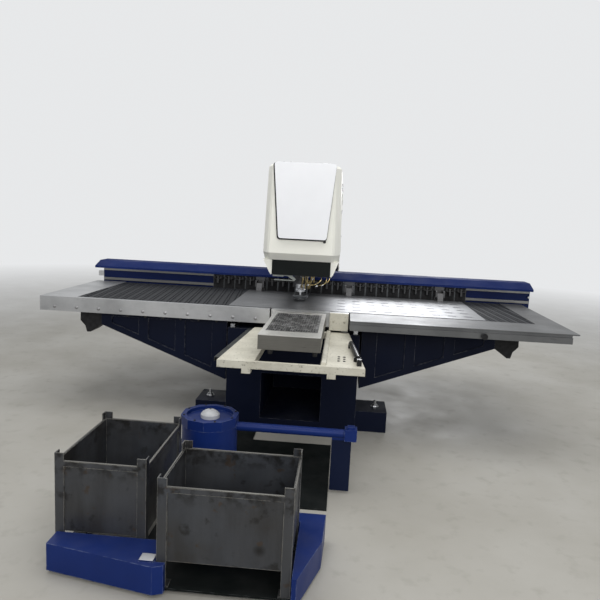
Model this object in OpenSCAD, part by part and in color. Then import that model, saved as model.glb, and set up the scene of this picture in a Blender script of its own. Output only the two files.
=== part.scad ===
// Sheet-metal punching machine: C-frame, one punching head, brush table that travels with the X beam,
// tool magazine with sheet clamps, parts flap and a carousel of steel bins.
// Millimetres. Origin on the floor under the tool axis, +X along the beam, +Y to the rear, +Z up.

/* [Table] */
// Height of the table surface above the floor
table_h = 950; // [900:10:1000]
// Width over both table wings
wing_span = 4080; // [3900:20:4400]
// Front edge of the wings, measured from the tool axis
wing_front = 580; // [560:5:620]
// Rear edge of the wings, measured from the tool axis
wing_back = 540; // [520:5:560]
// Depth of the wing frames
wing_t = 115; // [100:5:130]
// Inner edge of the left wing
left_gap = 190; // [180:5:210]
// Inner edge of the right wing
right_gap = 432; // [420:2:450]
// Thickness of the wing deck plates
deck_t = 10; // [8:1:14]
// Width of the frame beams under a deck
rib_w = 45; // [30:1:60]
// Width of the plain plate at the outer end of the left wing
left_plate_w = 290; // [200:10:330]
// Width of the plain plate at the outer end of the right wing
right_plate_w = 200; // [150:10:260]
// Thickness of a brush field above its plate
brush_t = 6; // [4:1:8]
// Distance between two brush strips
brush_pitch = 75; // [60:5:100]
// Depth of the shelf in front of the right wing
shelf_d = 320; // [280:5:340]
// Height of the shelf's front rail
shelf_t = 72; // [60:1:80]
// Distance of the knob from the right end of the shelf
knob_in = 660; // [500:10:800]

/* [Sheet] */
// Length of the sheet
sheet_l = 2000; // [1900:10:2100]
// Depth of the sheet
sheet_w = 1000; // [980:5:1005]
// Thickness of the sheet
sheet_t = 3; // [2.5:0.5:4]
// Right end of the sheet, measured from the tool axis
sheet_right = 1475; // [1470:5:1490]
// Rear edge of the sheet, measured from the tool axis
sheet_back = 470; // [460:5:480]
// Side of the square cut-out that has been nibbled under the tool
cut_w = 60; // [56:1:70]
// Gap between the sheet and what it slides over on the base
sheet_gap = 0.5; // [0.3:0.1:1]

/* [Base] */
// Half width of the lower arm
base_half = 520; // [500:5:540]
// Front face of the base, measured from the tool axis
base_front = 560; // [550:5:570]
// Rear face of the machine frame, measured from the tool axis
frame_back = 2380; // [2300:10:2500]
// Height of the table surface above the lower arm
arm_drop = 170; // [160:5:190]
// Front face of the rear column, measured from the tool axis
throat_depth = 1760; // [1740:10:1800]
// Half width of the rear column
column_half = 300; // [270:5:300]
// Height of the machine frame
frame_h = 2050; // [2000:10:2070]
// Height of the upper arm's underside above the table surface
throat_h = 460; // [450:5:480]
// Half width of the upper arm
upper_arm_half = 225; // [200:5:230]
// Width of a foot beyond the side of the base
foot_w = 250; // [200:5:280]
// Height of a foot
foot_h = 166; // [140:2:180]
// Radius of the anchor holes
anchor_r = 17; // [12:1:20]
// Distance between the anchor hole rows from front to back
anchor_pitch = 2500; // [2400:10:2600]
// Half width of the scrap opening
scrap_half = 240; // [200:5:260]
// Top of the scrap opening
scrap_top = 430; // [380:10:450]
// Half length of the tapered consoles, measured from the tool axis
console_half = 1560; // [1500:10:1620]
// Distance of a console's lower edge at its outer end below the table surface
console_drop = 217; // [200:1:240]
// Height of a console's lower edge at the base
console_root_z = 345; // [300:5:380]

/* [Head] */
// Sideways shift of the head cover from the tool axis
head_x = 6; // [0:1:20]
// Width of the cover at its lower edge
cover_w = 640; // [600:2:660]
// Width of the cover at its top
cover_top_w = 596; // [570:2:610]
// Distance of the lower edge of the cover's straight sides below the upper arm
cover_drop = 40; // [30:2:50]
// Height of the cover's top above the machine frame
cover_rise = 35; // [30:1:60]
// Front plane of the cover, measured from the tool axis
cover_front = 312; // [304:2:320]
// Rear edge of the cover, measured from the tool axis
cover_back = 420; // [380:10:460]
// Width of the slanted front corners
cover_chamfer = 42; // [30:1:50]
// Wall of the cover
cover_wall = 8; // [6:1:12]
// Height of the slanted band below the cover
band_h = 60; // [50:2:62]
// Sideways shift of the service door from the tool axis
door_x = 18; // [10:1:24]
// Width of the service door at its top
door_w = 494; // [470:2:500]
// Width of the service door at its lower edge
door_low_w = 388; // [370:2:400]
// Height of the service door's lower edge above the upper arm's underside
door_rise = 83; // [70:1:100]
// Thickness of the service door
door_t = 28; // [20:1:32]
// Corner radius of the service door
door_r = 22; // [10:1:30]
// Width of the dark front panel
skirt_w = 484; // [470:2:490]
// Height of the dark front panel's lower edge above the table surface
panel_rise = 236; // [230:1:250]
// Thickness of the dark front panel
skirt_t = 6; // [4:1:10]

/* [Tool] */
// Radius of the ram
ram_r = 58; // [54:1:62]
// Ram stroke
ram_stroke = 28; // [24:1:30]
// Radius of the punch
punch_r = 10; // [6:1:10]
// Radius of the turning tool holder
holder_r = 44; // [40:1:46]
// Radius of the down-holder foot
foot_r = 60; // [54:1:66]
// Radius of the hole in the down-holder foot
foot_bore_r = 18; // [18:0.5:20]
// Radius of the turning die holder
die_holder_r = 60; // [56:1:64]
// Radial clearance of the running fits
run_fit = 0.05; // [0.02:0.01:0.1]
// Gap between parts that pass each other
pass_gap = 0.4; // [0.3:0.1:1]

/* [Travel] */
// Travel of the sheet towards the operator
y_front_travel = 450; // [400:10:450]
// Travel of the tool rail to the left
x_left_travel = 1600; // [1500:10:1650]
// Travel of the tool rail to the right
x_right_travel = 900; // [850:10:950]

/* [X beam] */
// Left end of the beam, measured from the tool axis
beam_left = 2020; // [1980:10:2040]
// Right end of the beam, measured from the tool axis
beam_right = 2140; // [2120:5:2160]
// Overhang of the hood at the left end of the beam
hood_over = 60; // [40:5:80]
// Front face of the beam, measured from the tool axis
beam_front = 650; // [645:1:655]
// Depth of the beam
beam_d = 220; // [200:5:240]
// Distance of the beam's underside below the table surface
beam_drop = 65; // [60:1:70]
// Height of the beam's top above the table surface
beam_rise = 125; // [120:1:130]
// Distance between two tool stations
station_pitch = 106; // [104:1:110]
// Stations to the left of the tool axis
stations_left = 8; // [7:1:9]
// Stations to the right of the tool axis
stations_right = 14; // [13:1:15]
// Width of a tool cassette
cassette_w = 92; // [86:1:96]

/* [Flap and chute plate] */
// Left side of the flap tray, measured from the tool axis
tray_left = 141; // [120:1:143]
// Right side of the flap tray, measured from the tool axis
tray_right = 250; // [240:1:256]
// Front edge of the flap tray, measured from the tool axis
tray_front = 1560; // [1500:5:1580]
// Rear edge of the flap tray, measured from the tool axis
tray_back = 640; // [635:1:650]
// Depth of the flap tray
tray_t = 95; // [85:1:100]
// Rim width of the flap tray
tray_rim = 26; // [20:1:32]
// Distance of the chute plate's top below the table surface
chute_drop = 150; // [145:1:160]
// Thickness of the chute plate
chute_t = 45; // [40:1:50]
// Left front corner of the chute plate, measured from the tool axis
chute_left = 370; // [360:5:380]
// Right front corner of the chute plate, measured from the tool axis
chute_right = 526; // [515:1:535]
// Right rear corner of the chute plate, measured from the tool axis
chute_right_rear = 430; // [425:1:440]
// Left rear corner of the chute plate, measured from the tool axis
chute_left_rear = 304; // [295:1:320]
// Front edge of the chute plate, measured from the tool axis
chute_front = 1670; // [1650:5:1690]
// Width of the bar in front of the window
chute_bar = 34; // [28:1:40]
// Clearance between the tray and the window
window_gap = 7; // [5:1:10]

/* [Carousel] */
// Hub axis to the left of the tool axis
hub_x = 406; // [400:1:412]
// Hub axis in front of the tool axis
hub_y = 1640; // [1630:1:1650]
// Radius of the hub drum
hub_r = 178; // [170:1:182]
// Top of the hub drum
hub_top = 450; // [440:1:460]
// Radius of the hub spindle
spindle_r = 45; // [40:1:50]
// Thickness of the floor plate
floor_t = 8; // [6:1:10]
// Left edge of the floor plate, measured from the tool axis
plate_left = 760; // [740:5:780]
// Right edge of the floor plate, measured from the tool axis
plate_right = 345; // [330:5:360]
// Front edge of the floor plate, measured from the tool axis
plate_front = 1890; // [1870:5:1910]
// Rear edge of the wide part of the floor plate, measured from the tool axis
plate_back = 900; // [850:10:950]
// Length of a bin
bin_l = 600; // [590:2:620]
// Width of a bin
bin_w = 440; // [430:1:450]
// Height of a bin's rim above the floor
bin_rim = 498; // [480:2:504]
// Height of a bin's corner posts above the floor
bin_post = 538; // [525:1:544]
// Height of a bin's floor above the shop floor
bin_floor = 148; // [140:1:160]
// Wall of a bin
bin_wall = 4; // [3:0.5:6]
// Height of the blue skirts
skirt_h = 149; // [140:1:155]
// Width of the right skirt at its rear edge
right_skirt_w = 128; // [110:1:140]
// Height of the round arm's axis
arm_z = 381; // [370:1:400]
// Radius of the round arm
arm_r = 27; // [22:1:30]
// Distance from the hub axis to the end of the arm
arm_reach = 907; // [890:1:920]

/* [Hidden] */

// Heights that follow the table
lower_arm_h = table_h - arm_drop;
upper_arm_z = table_h + throat_h;
console_tip_z = table_h - console_drop;
cover_z = upper_arm_z - cover_drop;
door_z = upper_arm_z + door_rise;
skirt_z = table_h + panel_rise;
beam_z = table_h - beam_drop;
beam_top = table_h + beam_rise;
chute_z = table_h - chute_drop;
fixed_top = table_h - sheet_gap;

// Table and base
deck_z = table_h - brush_t;
wing_z = table_h - wing_t;
rail_h = 28;
rail_w = 34;
rail_x = base_half - rail_w;
apron_t = 6;
table_gap = 10;
fixed_front = wing_front - 4;
fixed_back = 84;
fixed_left = left_gap - table_gap;
fixed_right = right_gap - table_gap;
block_left = 278;
knob_x = wing_span / 2 - knob_in;
arm_top_r = 90;
arm_front = cover_front - 110;
scrap_bore_r = 46;
inlet_z = 1200;

// Tool stack, from the die up
die_top = fixed_top;
die_h = 24;
die_holder_h = 60;
die_holder_z = die_top - die_h - die_holder_h;
seat_z = lower_arm_h;
seat_half = 95;
foot_z = table_h + sheet_t + 16;
foot_t = 12;
punch_tip_z = table_h + sheet_t + 19;
bridge_t = 14;
holder_z = foot_z + foot_t + bridge_t + ram_stroke + 3;
rod_r = 7;
rod_ring = ram_r + 38;
rod_turn = 32;
rods = [for (s = [-1, 1]) [s * rod_ring * sin(rod_turn), rod_ring * cos(rod_turn)]];
holder_top = table_h + 146;
ram_z = holder_top;
ram_flange_h = 30;
guide_z = table_h + 290;
guide_r = ram_r + 34;
drive_z = upper_arm_z + 40;
drive_h = frame_h - 90 - drive_z;

// Beam, saddle and stations
rail_front = beam_front - 24;
saddle_t = 14;
x_rail_zs = [beam_z + 78, beam_top - 16];
saddle_front = rail_front - saddle_t;
saddle_z = beam_z + 15;
saddle_top = beam_top - 9;
mag_left = -(stations_left + 0.5) * station_pitch;
mag_right = (stations_right + 0.5) * station_pitch;
cassette_front = wing_back + 6;
stored_r = 15;
fork_t = 14;
fork_z = saddle_top - 30;
stored_y = (cassette_front + saddle_front - 12) / 2;
clamp_at = [-4, 4, 12];
slot_size = [62, 14];
slot_pitch = [125, 165];
slot_start = [330, 110];
clamp_w = 84;
clamp_reach = sheet_back - 24;
clamp_pin_y = clamp_reach + 26;
clamp_pin_z = table_h + 58;
sheet_front = sheet_back - sheet_w;

// Flap and chute
tray_z = table_h - tray_t;
hinge_y = -(tray_back + 14);
hinge_z = tray_z + 34;
pin_r = 9;
tray_skin = 6;
tray_hinge_xs = [-tray_left + 60, tray_right - 100];
window_left = tray_left + window_gap - 4;
window_right = tray_right + window_gap;
lug_w = 54;
lug_xs = [-window_left - 20 - lug_w, window_right + 42];
lug_h = 30;
chute_back = base_front + 20;
chute_l = chute_front - chute_back;
chute_left_turn = atan((chute_left - chute_left_rear) / chute_l);
chute_right_turn = atan((chute_right - chute_right_rear) / chute_l);

// Head
cover_top = frame_h + cover_rise;
door_gap = 14;
door_back = cover_front + door_gap;
door_top = cover_top + 8;
door_rim = 6;
door_pin_y = cover_front - 16;
door_pin_z = cover_top + 7;
door_pin_r = 4;
knuckle_r = 7;
strap_w = 40;
strap_xs = [door_x - 150, door_x + 150];
band_in = 66;
band_side = 8;
panel_x = head_x + 7;
panel_y = -cover_front + band_in;

// Carousel
hub = [-hub_x, -hub_y];
front_bin_at = [-388, -2752];
left_bin_at = [-934, -2580];
tray_plate_z = floor_t + 8;
tray_plate_t = 10;
bin_foot_z = tray_plate_z + tray_plate_t;
flange_h = 24;
drum_z = floor_t + flange_h + 0.3;
hub_rim_h = 60;
bay_gap = 6;
front_back = front_bin_at[1] + bin_w;
left_right = left_bin_at[0] + bin_w;
left_back = left_bin_at[1] + bin_l;

// A box between two corners
module span(a, b) {
    translate([min(a[0], b[0]), min(a[1], b[1]), min(a[2], b[2])])
        cube([abs(b[0] - a[0]), abs(b[1] - a[1]), abs(b[2] - a[2])]);
}

// An outline of (Y, Z) points drawn out along X from x0 to x1
module along_x(x0, x1) {
    translate([x0, 0, 0]) rotate([90, 0, 90]) linear_extrude(x1 - x0) children();
}

// An outline of (X, Z) points drawn out along Y from y0 to y1
module along_y(y0, y1) {
    translate([0, y1, 0]) rotate([90, 0, 0]) linear_extrude(y1 - y0) children();
}

// A round rod along X or Y from its start point
module rod_x(at, length, r) { translate(at) rotate([0, 90, 0]) cylinder(r = r, h = length, $fn = 32); }
module rod_y(at, length, r) { translate(at) rotate([-90, 0, 0]) cylinder(r = r, h = length, $fn = 32); }

// Welded machine frame
module c_frame() color("midnightblue") {
    hole_y = [-base_front + 170, -base_front + 170 + anchor_pitch];
    difference() {
        union() {
            span([-base_half, -base_front, 0], [base_half, frame_back, lower_arm_h]);
            for (s = [-1, 1], y = hole_y)
                span([s * (base_half - 20), y - 150, 0], [s * (base_half + foot_w), y + 150, foot_h]);
            span([-column_half, throat_depth, lower_arm_h], [column_half, frame_back, frame_h]);
            along_x(-upper_arm_half, upper_arm_half) difference() {
                polygon([[-arm_front, upper_arm_z + 40], [-arm_front + 40, upper_arm_z],
                    [throat_depth - arm_top_r, upper_arm_z], [throat_depth, upper_arm_z - arm_top_r],
                    [throat_depth + 10, upper_arm_z - arm_top_r], [throat_depth + 10, frame_h],
                    [200, frame_h], [-arm_front, frame_h - 90]]);
                translate([throat_depth - arm_top_r, upper_arm_z - arm_top_r])
                    circle(r = arm_top_r, $fn = 48);
            }
        }
        span([-scrap_half, -base_front - 1, 60], [scrap_half, 330, scrap_top]);
        translate([0, 0, scrap_top - 1]) cylinder(r = scrap_bore_r, h = lower_arm_h, $fn = 48);
        translate([0, 0, upper_arm_z - 1]) cylinder(r = guide_r, h = 191, $fn = 64);
        for (s = [-1, 1], y = hole_y) translate([s * (base_half + foot_w - 90), y, -1])
            cylinder(r = anchor_r, h = foot_h + 2, $fn = 48);
        translate([0, frame_back + 1, inlet_z]) rotate([90, 0, 0]) cylinder(r = 60, h = 61, $fn = 48);
    }
}

// Cable inlet with a gland on the rear of the column
module power_inlet() color("dimgray") translate([0, frame_back, inlet_z]) rotate([-90, 0, 0])
    difference() {
        union() {
            cylinder(r = 85, h = 8, $fn = 64);
            translate([0, 0, 8]) cylinder(r = 34, h = 22, $fn = 48);
        }
        translate([0, 0, -1]) cylinder(r = 20, h = 40, $fn = 48);
    }

// Guide rails on top of the lower arm for the travelling table
module y_guide_rails() color("silver")
    for (s = [-1, 1]) along_y(-base_front + 20, throat_depth - 20)
        translate([s * rail_x, lower_arm_h]) polygon([[-rail_w / 2, 0], [rail_w / 2, 0],
            [rail_w / 2, 8], [rail_w / 2 - 5, 14], [rail_w / 2, 20], [rail_w / 2, rail_h],
            [-rail_w / 2, rail_h], [-rail_w / 2, 20], [-rail_w / 2 + 5, 14], [-rail_w / 2, 8]]);

// Table segment that stays with the base, around the tool axis
module fixed_table() color("gainsboro") {
    difference() {
        span([-fixed_left, -fixed_front, wing_z], [fixed_right, -fixed_back, deck_z]);
        span([-fixed_left + 30, -fixed_front + 30, wing_z - 1],
            [fixed_right - 30, -fixed_back - 30, deck_z - 30]);
    }
    for (x = [-fixed_left + 30 : 96 : fixed_right - 60])
        span([x, -fixed_front + 60, deck_z], [x + 40, -fixed_back - 20, fixed_top]);
    span([-fixed_left, -fixed_front, deck_z], [fixed_right, -fixed_front + 40, fixed_top]);
    for (x = [-fixed_left, fixed_right - 50])
        span([x, -fixed_front + 60, lower_arm_h], [x + 50, -fixed_back - 40, wing_z]);
}

// Cream block at the front of the fixed table
module table_block() color("ivory") difference() {
    span([block_left, -fixed_front - 40, table_h - 132], [fixed_right, -fixed_front, fixed_top]);
    for (x = [block_left + 30, fixed_right - 30]) translate([x, -fixed_front - 25, table_h - 66])
        rotate([90, 0, 0]) cylinder(r = 7, h = 20, $fn = 24);
}

// Cast seat in which the die holder turns
module die_seat() color("slategray") difference() {
    union() {
        span([-seat_half, -75, seat_z], [seat_half, seat_half, seat_z + 60]);
        translate([0, 0, seat_z])
            cylinder(r = die_holder_r + 14, h = table_h - die_h - 22 - seat_z, $fn = 64);
    }
    translate([0, 0, die_holder_z]) cylinder(r = die_holder_r + run_fit, h = 200, $fn = 64);
    translate([0, 0, seat_z - 1]) cylinder(r = scrap_bore_r, h = 200, $fn = 48);
}

// Turning holder with the pocket for the die
module die_holder() color("silver") difference() {
    translate([0, 0, die_holder_z]) cylinder(r = die_holder_r, h = die_holder_h, $fn = 64);
    translate([0, 0, die_holder_z - 1]) cylinder(r = 30, h = die_holder_h + 2, $fn = 48);
}

// Die plate with its cutting opening
module die() color("gray") difference() {
    translate([0, 0, die_top - die_h]) cylinder(r = die_holder_r - 8, h = die_h, $fn = 64);
    translate([0, 0, die_top - die_h - 1]) cylinder(r = punch_r + 0.3, h = die_h + 2, $fn = 48);
    translate([0, 0, die_top - die_h - 1]) cylinder(r = punch_r + 4, h = die_h - 7, $fn = 48);
}

// Plan of the head cover: slanted front corners, straight sides
function cover_plan(w, front, back, c) = [
    [-w / 2, -front + 3 * c], [-w / 2 + c, -front + 0.5 * c], [-w / 2 + 1.5 * c, -front],
    [w / 2 - 1.5 * c, -front], [w / 2 - c, -front + 0.5 * c], [w / 2, -front + 3 * c],
    [w / 2, back], [-w / 2, back]];

// Solid between two plans at two heights
module loft(plan_a, za, plan_b, zb) hull() {
    translate([0, 0, za]) linear_extrude(0.01) polygon(plan_a);
    translate([0, 0, zb - 0.01]) linear_extrude(0.01) polygon(plan_b);
}

// Half width of the cover, to the middle of its wall, at height z
function cover_half(z) = cover_w / 2 - cover_wall / 2
    - (cover_w - cover_top_w) / 2 * (z - cover_z) / (cover_top - 24 - cover_z);

// Moulded cream cover over the end of the upper arm, open below and behind
module head_cover() color("ivory") {
    in = cover_wall;
    translate([head_x, 0, 0]) difference() {
        union() {
            loft(cover_plan(cover_w, cover_front, cover_back, cover_chamfer), cover_z,
                cover_plan(cover_top_w, cover_front, cover_back, cover_chamfer), cover_top - 24);
            loft(cover_plan(cover_top_w, cover_front, cover_back, cover_chamfer), cover_top - 24,
                cover_plan(cover_top_w - 40, cover_front - 22, cover_back, cover_chamfer), cover_top);
            loft(cover_plan(cover_w - 2 * band_side, cover_front - band_in, cover_back, cover_chamfer),
                cover_z - band_h, cover_plan(cover_w, cover_front, cover_back, cover_chamfer), cover_z);
        }
        loft(cover_plan(cover_w - 2 * band_side - 2 * in, cover_front - band_in - in, cover_back + 9,
            cover_chamfer), cover_z - band_h - 1, cover_plan(cover_w - 2 * in, cover_front - in,
            cover_back + 9, cover_chamfer), cover_z);
        loft(cover_plan(cover_w - 2 * in, cover_front - in, cover_back + 9, cover_chamfer), cover_z - 0.01,
            cover_plan(cover_top_w - 2 * in, cover_front - in, cover_back + 9, cover_chamfer),
            cover_top - 28);
        span([door_x - head_x - door_low_w / 2 + 40, -cover_front - 9, door_z + 40],
            [door_x - head_x + door_low_w / 2 - 40, -cover_front + 60, cover_top - 60]);
    }
    // Flanges that bolt the cover to the sides of the upper arm
    flange_y = cover_back - 120;
    for (z = [upper_arm_z + 60, frame_h - 150], s = [-1, 1])
        span([s * upper_arm_half, flange_y, z], [head_x + s * cover_half(z + 40), flange_y + 12, z + 80]);
}

// Outline of the service door: wider at the top, with rounded corners
module door_outline(top_w, low_w, h, r) {
    a = atan((top_w - low_w) / 2 / h);
    xt = top_w / 2 - r / cos(a) - r * tan(a);
    xb = low_w / 2 - r / cos(a) + r * tan(a);
    y = h / 2 - r;
    c = r * cos(a);
    d = r * sin(a);
    polygon([[xb, -y - r], [xb + c, -y - d], [xt + c, y - d], [xt, y + r],
        [-xt, y + r], [-xt - c, y - d], [-xb - c, -y - d], [-xb, -y - r]]);
    for (s = [-1, 1]) {
        translate([s * xt, y]) circle(r = r, $fn = 32);
        translate([s * xb, -y]) circle(r = r, $fn = 32);
    }
}

// Service door in front of the cover, with straps to the hinge on the cover's top
module head_door() color("whitesmoke") {
    door_h = door_top - door_z;
    skin = 5;
    translate([door_x, -door_back, door_z + door_h / 2]) rotate([90, 0, 0]) difference() {
        linear_extrude(door_t) door_outline(door_w, door_low_w, door_h, door_r);
        translate([0, 0, -1]) linear_extrude(door_t - skin + 1)
            door_outline(door_w - 2 * door_rim, door_low_w - 2 * door_rim, door_h - 2 * door_rim,
                door_r - door_rim);
    }
    for (x = strap_xs) difference() {
        union() {
            rod_x([x - strap_w / 2, -door_pin_y, door_pin_z], strap_w, knuckle_r);
            span([x - strap_w / 2, -door_back - door_t / 2, door_top - door_rim],
                [x + strap_w / 2, -door_pin_y, door_top]);
        }
        rod_x([x - strap_w, -door_pin_y, door_pin_z], 2 * strap_w, door_pin_r + run_fit);
    }
}

// Hinge pins of the door, with knuckles and base plates on the cover's top
module door_hinges() color("gray")
    for (x = strap_xs) {
        inner = strap_w / 2 + pass_gap;
        outer = inner + 16;
        rod_x([x - outer, -door_pin_y, door_pin_z], 2 * outer, door_pin_r);
        for (s = [-1, 1]) {
            rod_x([s > 0 ? x + inner : x - outer, -door_pin_y, door_pin_z], 16, knuckle_r);
            span([x + s * inner, -door_pin_y, cover_top], [x + s * outer, -door_pin_y + 30, cover_top + 6]);
        }
        span([x - outer, -door_pin_y + 12, cover_top], [x + outer, -door_pin_y + 42, cover_top + 3]);
    }

// Dark panel below the cover, with its side returns
module front_panel() color("darkslategray") {
    top = cover_z - band_h;
    span([panel_x - skirt_w / 2, panel_y, skirt_z], [panel_x + skirt_w / 2, panel_y + skirt_t, top]);
    for (s = [-1, 1]) along_x(panel_x + s * skirt_w / 2 - (s > 0 ? skirt_t : 0),
        panel_x + s * skirt_w / 2 + (s < 0 ? skirt_t : 0))
        polygon([[panel_y, top], [panel_y, skirt_z], [panel_y + 150, skirt_z + 20], [panel_y + 190, top]]);
}

// Pointed cheeks beside the dark panel
module head_cheeks() color("ivory") {
    top = cover_z - band_h;
    for (s = [-1, 1]) {
        inner = panel_x + s * skirt_w / 2;
        outer = head_x + s * (cover_w / 2 - band_side);
        along_y(panel_y + 10, panel_y + 180) polygon(s > 0
            ? [[inner, top], [inner, skirt_z + 6], [inner + 8, skirt_z - 2],
                [inner + 24, skirt_z + 20], [outer, top]]
            : [[inner, top], [outer, top], [inner - 24, skirt_z + 20],
                [inner - 8, skirt_z - 2], [inner, skirt_z + 6]]);
    }
}

// Work lamp behind the lower edge of the dark panel, and the bar that carries the nozzles
module work_lamp() color("white") {
    y = panel_y + skirt_t;
    x = panel_x - skirt_w / 2 + 8;
    span([x, y, skirt_z - 14], [x + 92, y + 34, skirt_z + 12]);
    along_y(y, y + 12) polygon([[x + 92, skirt_z + 12], [x + 92, skirt_z - 6], [x + 124, skirt_z - 8],
        [-40, skirt_z - 44], [-26, skirt_z - 32], [x + 152, skirt_z + 12]]);
}

// Copper pipes that bring oil mist to the tool
module oil_pipes() color("goldenrod") {
    pipe_r = 5;
    bend_z = holder_top + 16;
    for (i = [0 : 3]) {
        bend = 12 + 2 * i;
        rotate([0, 0, -78 + 20 * i]) translate([ram_r + 44, 0, bend_z]) {
            rotate([90, 0, 0]) rotate_extrude(angle = 180, $fn = 32)
                translate([bend, 0]) circle(r = pipe_r, $fn = 16);
            translate([bend, 0, 0]) cylinder(r = pipe_r, h = guide_z - bend_z, $fn = 16);
            translate([-bend, 0, -34]) cylinder(r = pipe_r, h = 34, $fn = 16);
            translate([-bend, 0, -56]) cylinder(r1 = 3, r2 = 8, h = 22, $fn = 24);
        }
    }
}

// Sleeve in which the ram and the rods of the down-holder slide
module ram_guide() color("dimgray") difference() {
    union() {
        translate([0, 0, upper_arm_z]) cylinder(r = guide_r, h = 150, $fn = 64);
        translate([0, 0, guide_z]) cylinder(r = guide_r + 30, h = upper_arm_z - guide_z, $fn = 64);
    }
    translate([0, 0, guide_z - 1]) cylinder(r = ram_r + run_fit, h = 400, $fn = 64);
    for (at = rods) translate([at[0], at[1], guide_z - 1])
        cylinder(r = rod_r + run_fit, h = upper_arm_z - guide_z - 20, $fn = 32);
}

// Drive cylinder and valve block in front of the upper arm
module ram_drive() color("slategray") {
    translate([0, -arm_front - 30, drive_z + 20]) {
        span([-110, 0, 0], [110, 30, 0.35 * drive_h]);
        span([-80, -24, 30], [-10, 0, 0.3 * drive_h]);
        span([20, -24, 60], [90, 0, 0.25 * drive_h]);
    }
    translate([0, -arm_front, drive_z + 0.63 * drive_h]) rotate([90, 0, 0]) {
        cylinder(r = 90, h = 18, $fn = 64);
        translate([0, 0, 18]) cylinder(r = 62, h = 20, $fn = 64);
    }
}

// Ram
module ram() color("silver") {
    translate([0, 0, ram_z + ram_flange_h])
        cylinder(r = ram_r, h = upper_arm_z + 110 - ram_z - ram_flange_h, $fn = 64);
    difference() {
        translate([0, 0, ram_z]) cylinder(r = ram_r + 10, h = ram_flange_h, $fn = 64);
        translate([0, 0, ram_z - 1]) cylinder(r = holder_r - 14 + run_fit, h = 21, $fn = 64);
    }
}

// Turning holder that carries the punch
module tool_holder() color("silver") {
    translate([0, 0, ram_z]) cylinder(r = holder_r - 14, h = 19, $fn = 64);
    difference() {
        translate([0, 0, holder_z]) cylinder(r = holder_r, h = holder_top - holder_z, $fn = 64);
        translate([0, 0, holder_z + 24]) rotate_extrude($fn = 64)
            translate([holder_r + 1, 0]) circle(r = 7, $fn = 24);
        translate([0, 0, holder_z - 1]) cylinder(r = punch_r + 7, h = 31, $fn = 48);
    }
}

// Punch
module punch() color("lightsteelblue") {
    translate([0, 0, holder_z]) cylinder(r = punch_r + 7, h = 30, $fn = 48);
    translate([0, 0, punch_tip_z]) cylinder(r = punch_r, h = holder_z - punch_tip_z, $fn = 48);
}

// Down-holder: foot round the punch, bridge to the rear, and two rods that slide behind the ram
module down_holder() color("dimgray") {
    bridge_z = foot_z + foot_t;
    difference() {
        union() {
            translate([0, 0, foot_z]) cylinder(r = foot_r, h = foot_t, $fn = 64);
            span([-rods[1][0] - 12, -foot_bore_r - 8, bridge_z],
                [rods[1][0] + 12, rods[1][1] + 12, bridge_z + bridge_t]);
        }
        translate([0, 0, foot_z - 1]) cylinder(r = foot_bore_r, h = foot_t + bridge_t + 2, $fn = 48);
    }
    for (at = rods) translate([at[0], at[1], bridge_z + bridge_t])
        cylinder(r = rod_r, h = guide_z + 60 - bridge_z - bridge_t, $fn = 32);
}

// Frame of one wing between x0 and x1, with ribs under the deck
module wing_frame(x0, x1, ribs) {
    span([x0, -wing_front, deck_z - deck_t], [x1, wing_back, deck_z]);
    for (y = [-wing_front, wing_back - rib_w])
        span([x0, y, wing_z], [x1, y + rib_w, deck_z]);
    step = (x1 - x0 - rib_w) / ribs;
    for (i = [0 : ribs])
        span([x0 + i * step, -wing_front, wing_z], [x0 + i * step + rib_w, wing_back, deck_z]);
}

module left_wing() color("silver") {
    wing_frame(-wing_span / 2, -left_gap, 4);
    span([-wing_span / 2, -wing_front, deck_z], [-wing_span / 2 + left_plate_w, wing_back, table_h]);
    span([-wing_span / 2, -wing_front, deck_z], [-left_gap, -wing_front + 40, table_h]);
}

module right_wing() color("silver") {
    wing_frame(right_gap, wing_span / 2, 4);
    span([wing_span / 2 - right_plate_w, -wing_front, deck_z], [wing_span / 2, wing_back, table_h]);
    span([right_gap, -wing_front, deck_z], [wing_span / 2, -wing_front + 40, table_h]);
}

// Brush field: a backing sheet with slanted rows of brush strips
module brush_field(x0, x1, y0, y1) {
    span([x0, y0, deck_z], [x1, y1, table_h - 3]);
    lean = 110;
    strip = 46;
    rows = floor((x1 - x0 - lean - strip) / brush_pitch);
    for (i = [0 : rows]) translate([x0 + i * brush_pitch, 0, table_h - 3]) linear_extrude(3)
        polygon([[lean, y0 + 6], [lean + strip, y0 + 6], [strip, y1 - 6], [0, y1 - 6]]);
}

module left_brushes() color("darkslategray")
    brush_field(-wing_span / 2 + left_plate_w, -left_gap, -wing_front + 40, wing_back);

module right_brushes() color("darkslategray")
    brush_field(right_gap, wing_span / 2 - right_plate_w, -wing_front + 40, wing_back);

// Bolted metal apron in front of the left wing
module left_apron() color("silver") {
    first = wing_span / 2 - 120;
    pitch = (first - left_gap - 110) / 9;
    span([-wing_span / 2, -wing_front - apron_t, wing_z], [-left_gap, -wing_front, table_h]);
    for (i = [0 : 9]) translate([-first + i * pitch, -wing_front - apron_t, wing_z + 34])
        rotate([90, 0, 0]) cylinder(r = 9, h = 5, $fn = 6);
}

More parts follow.
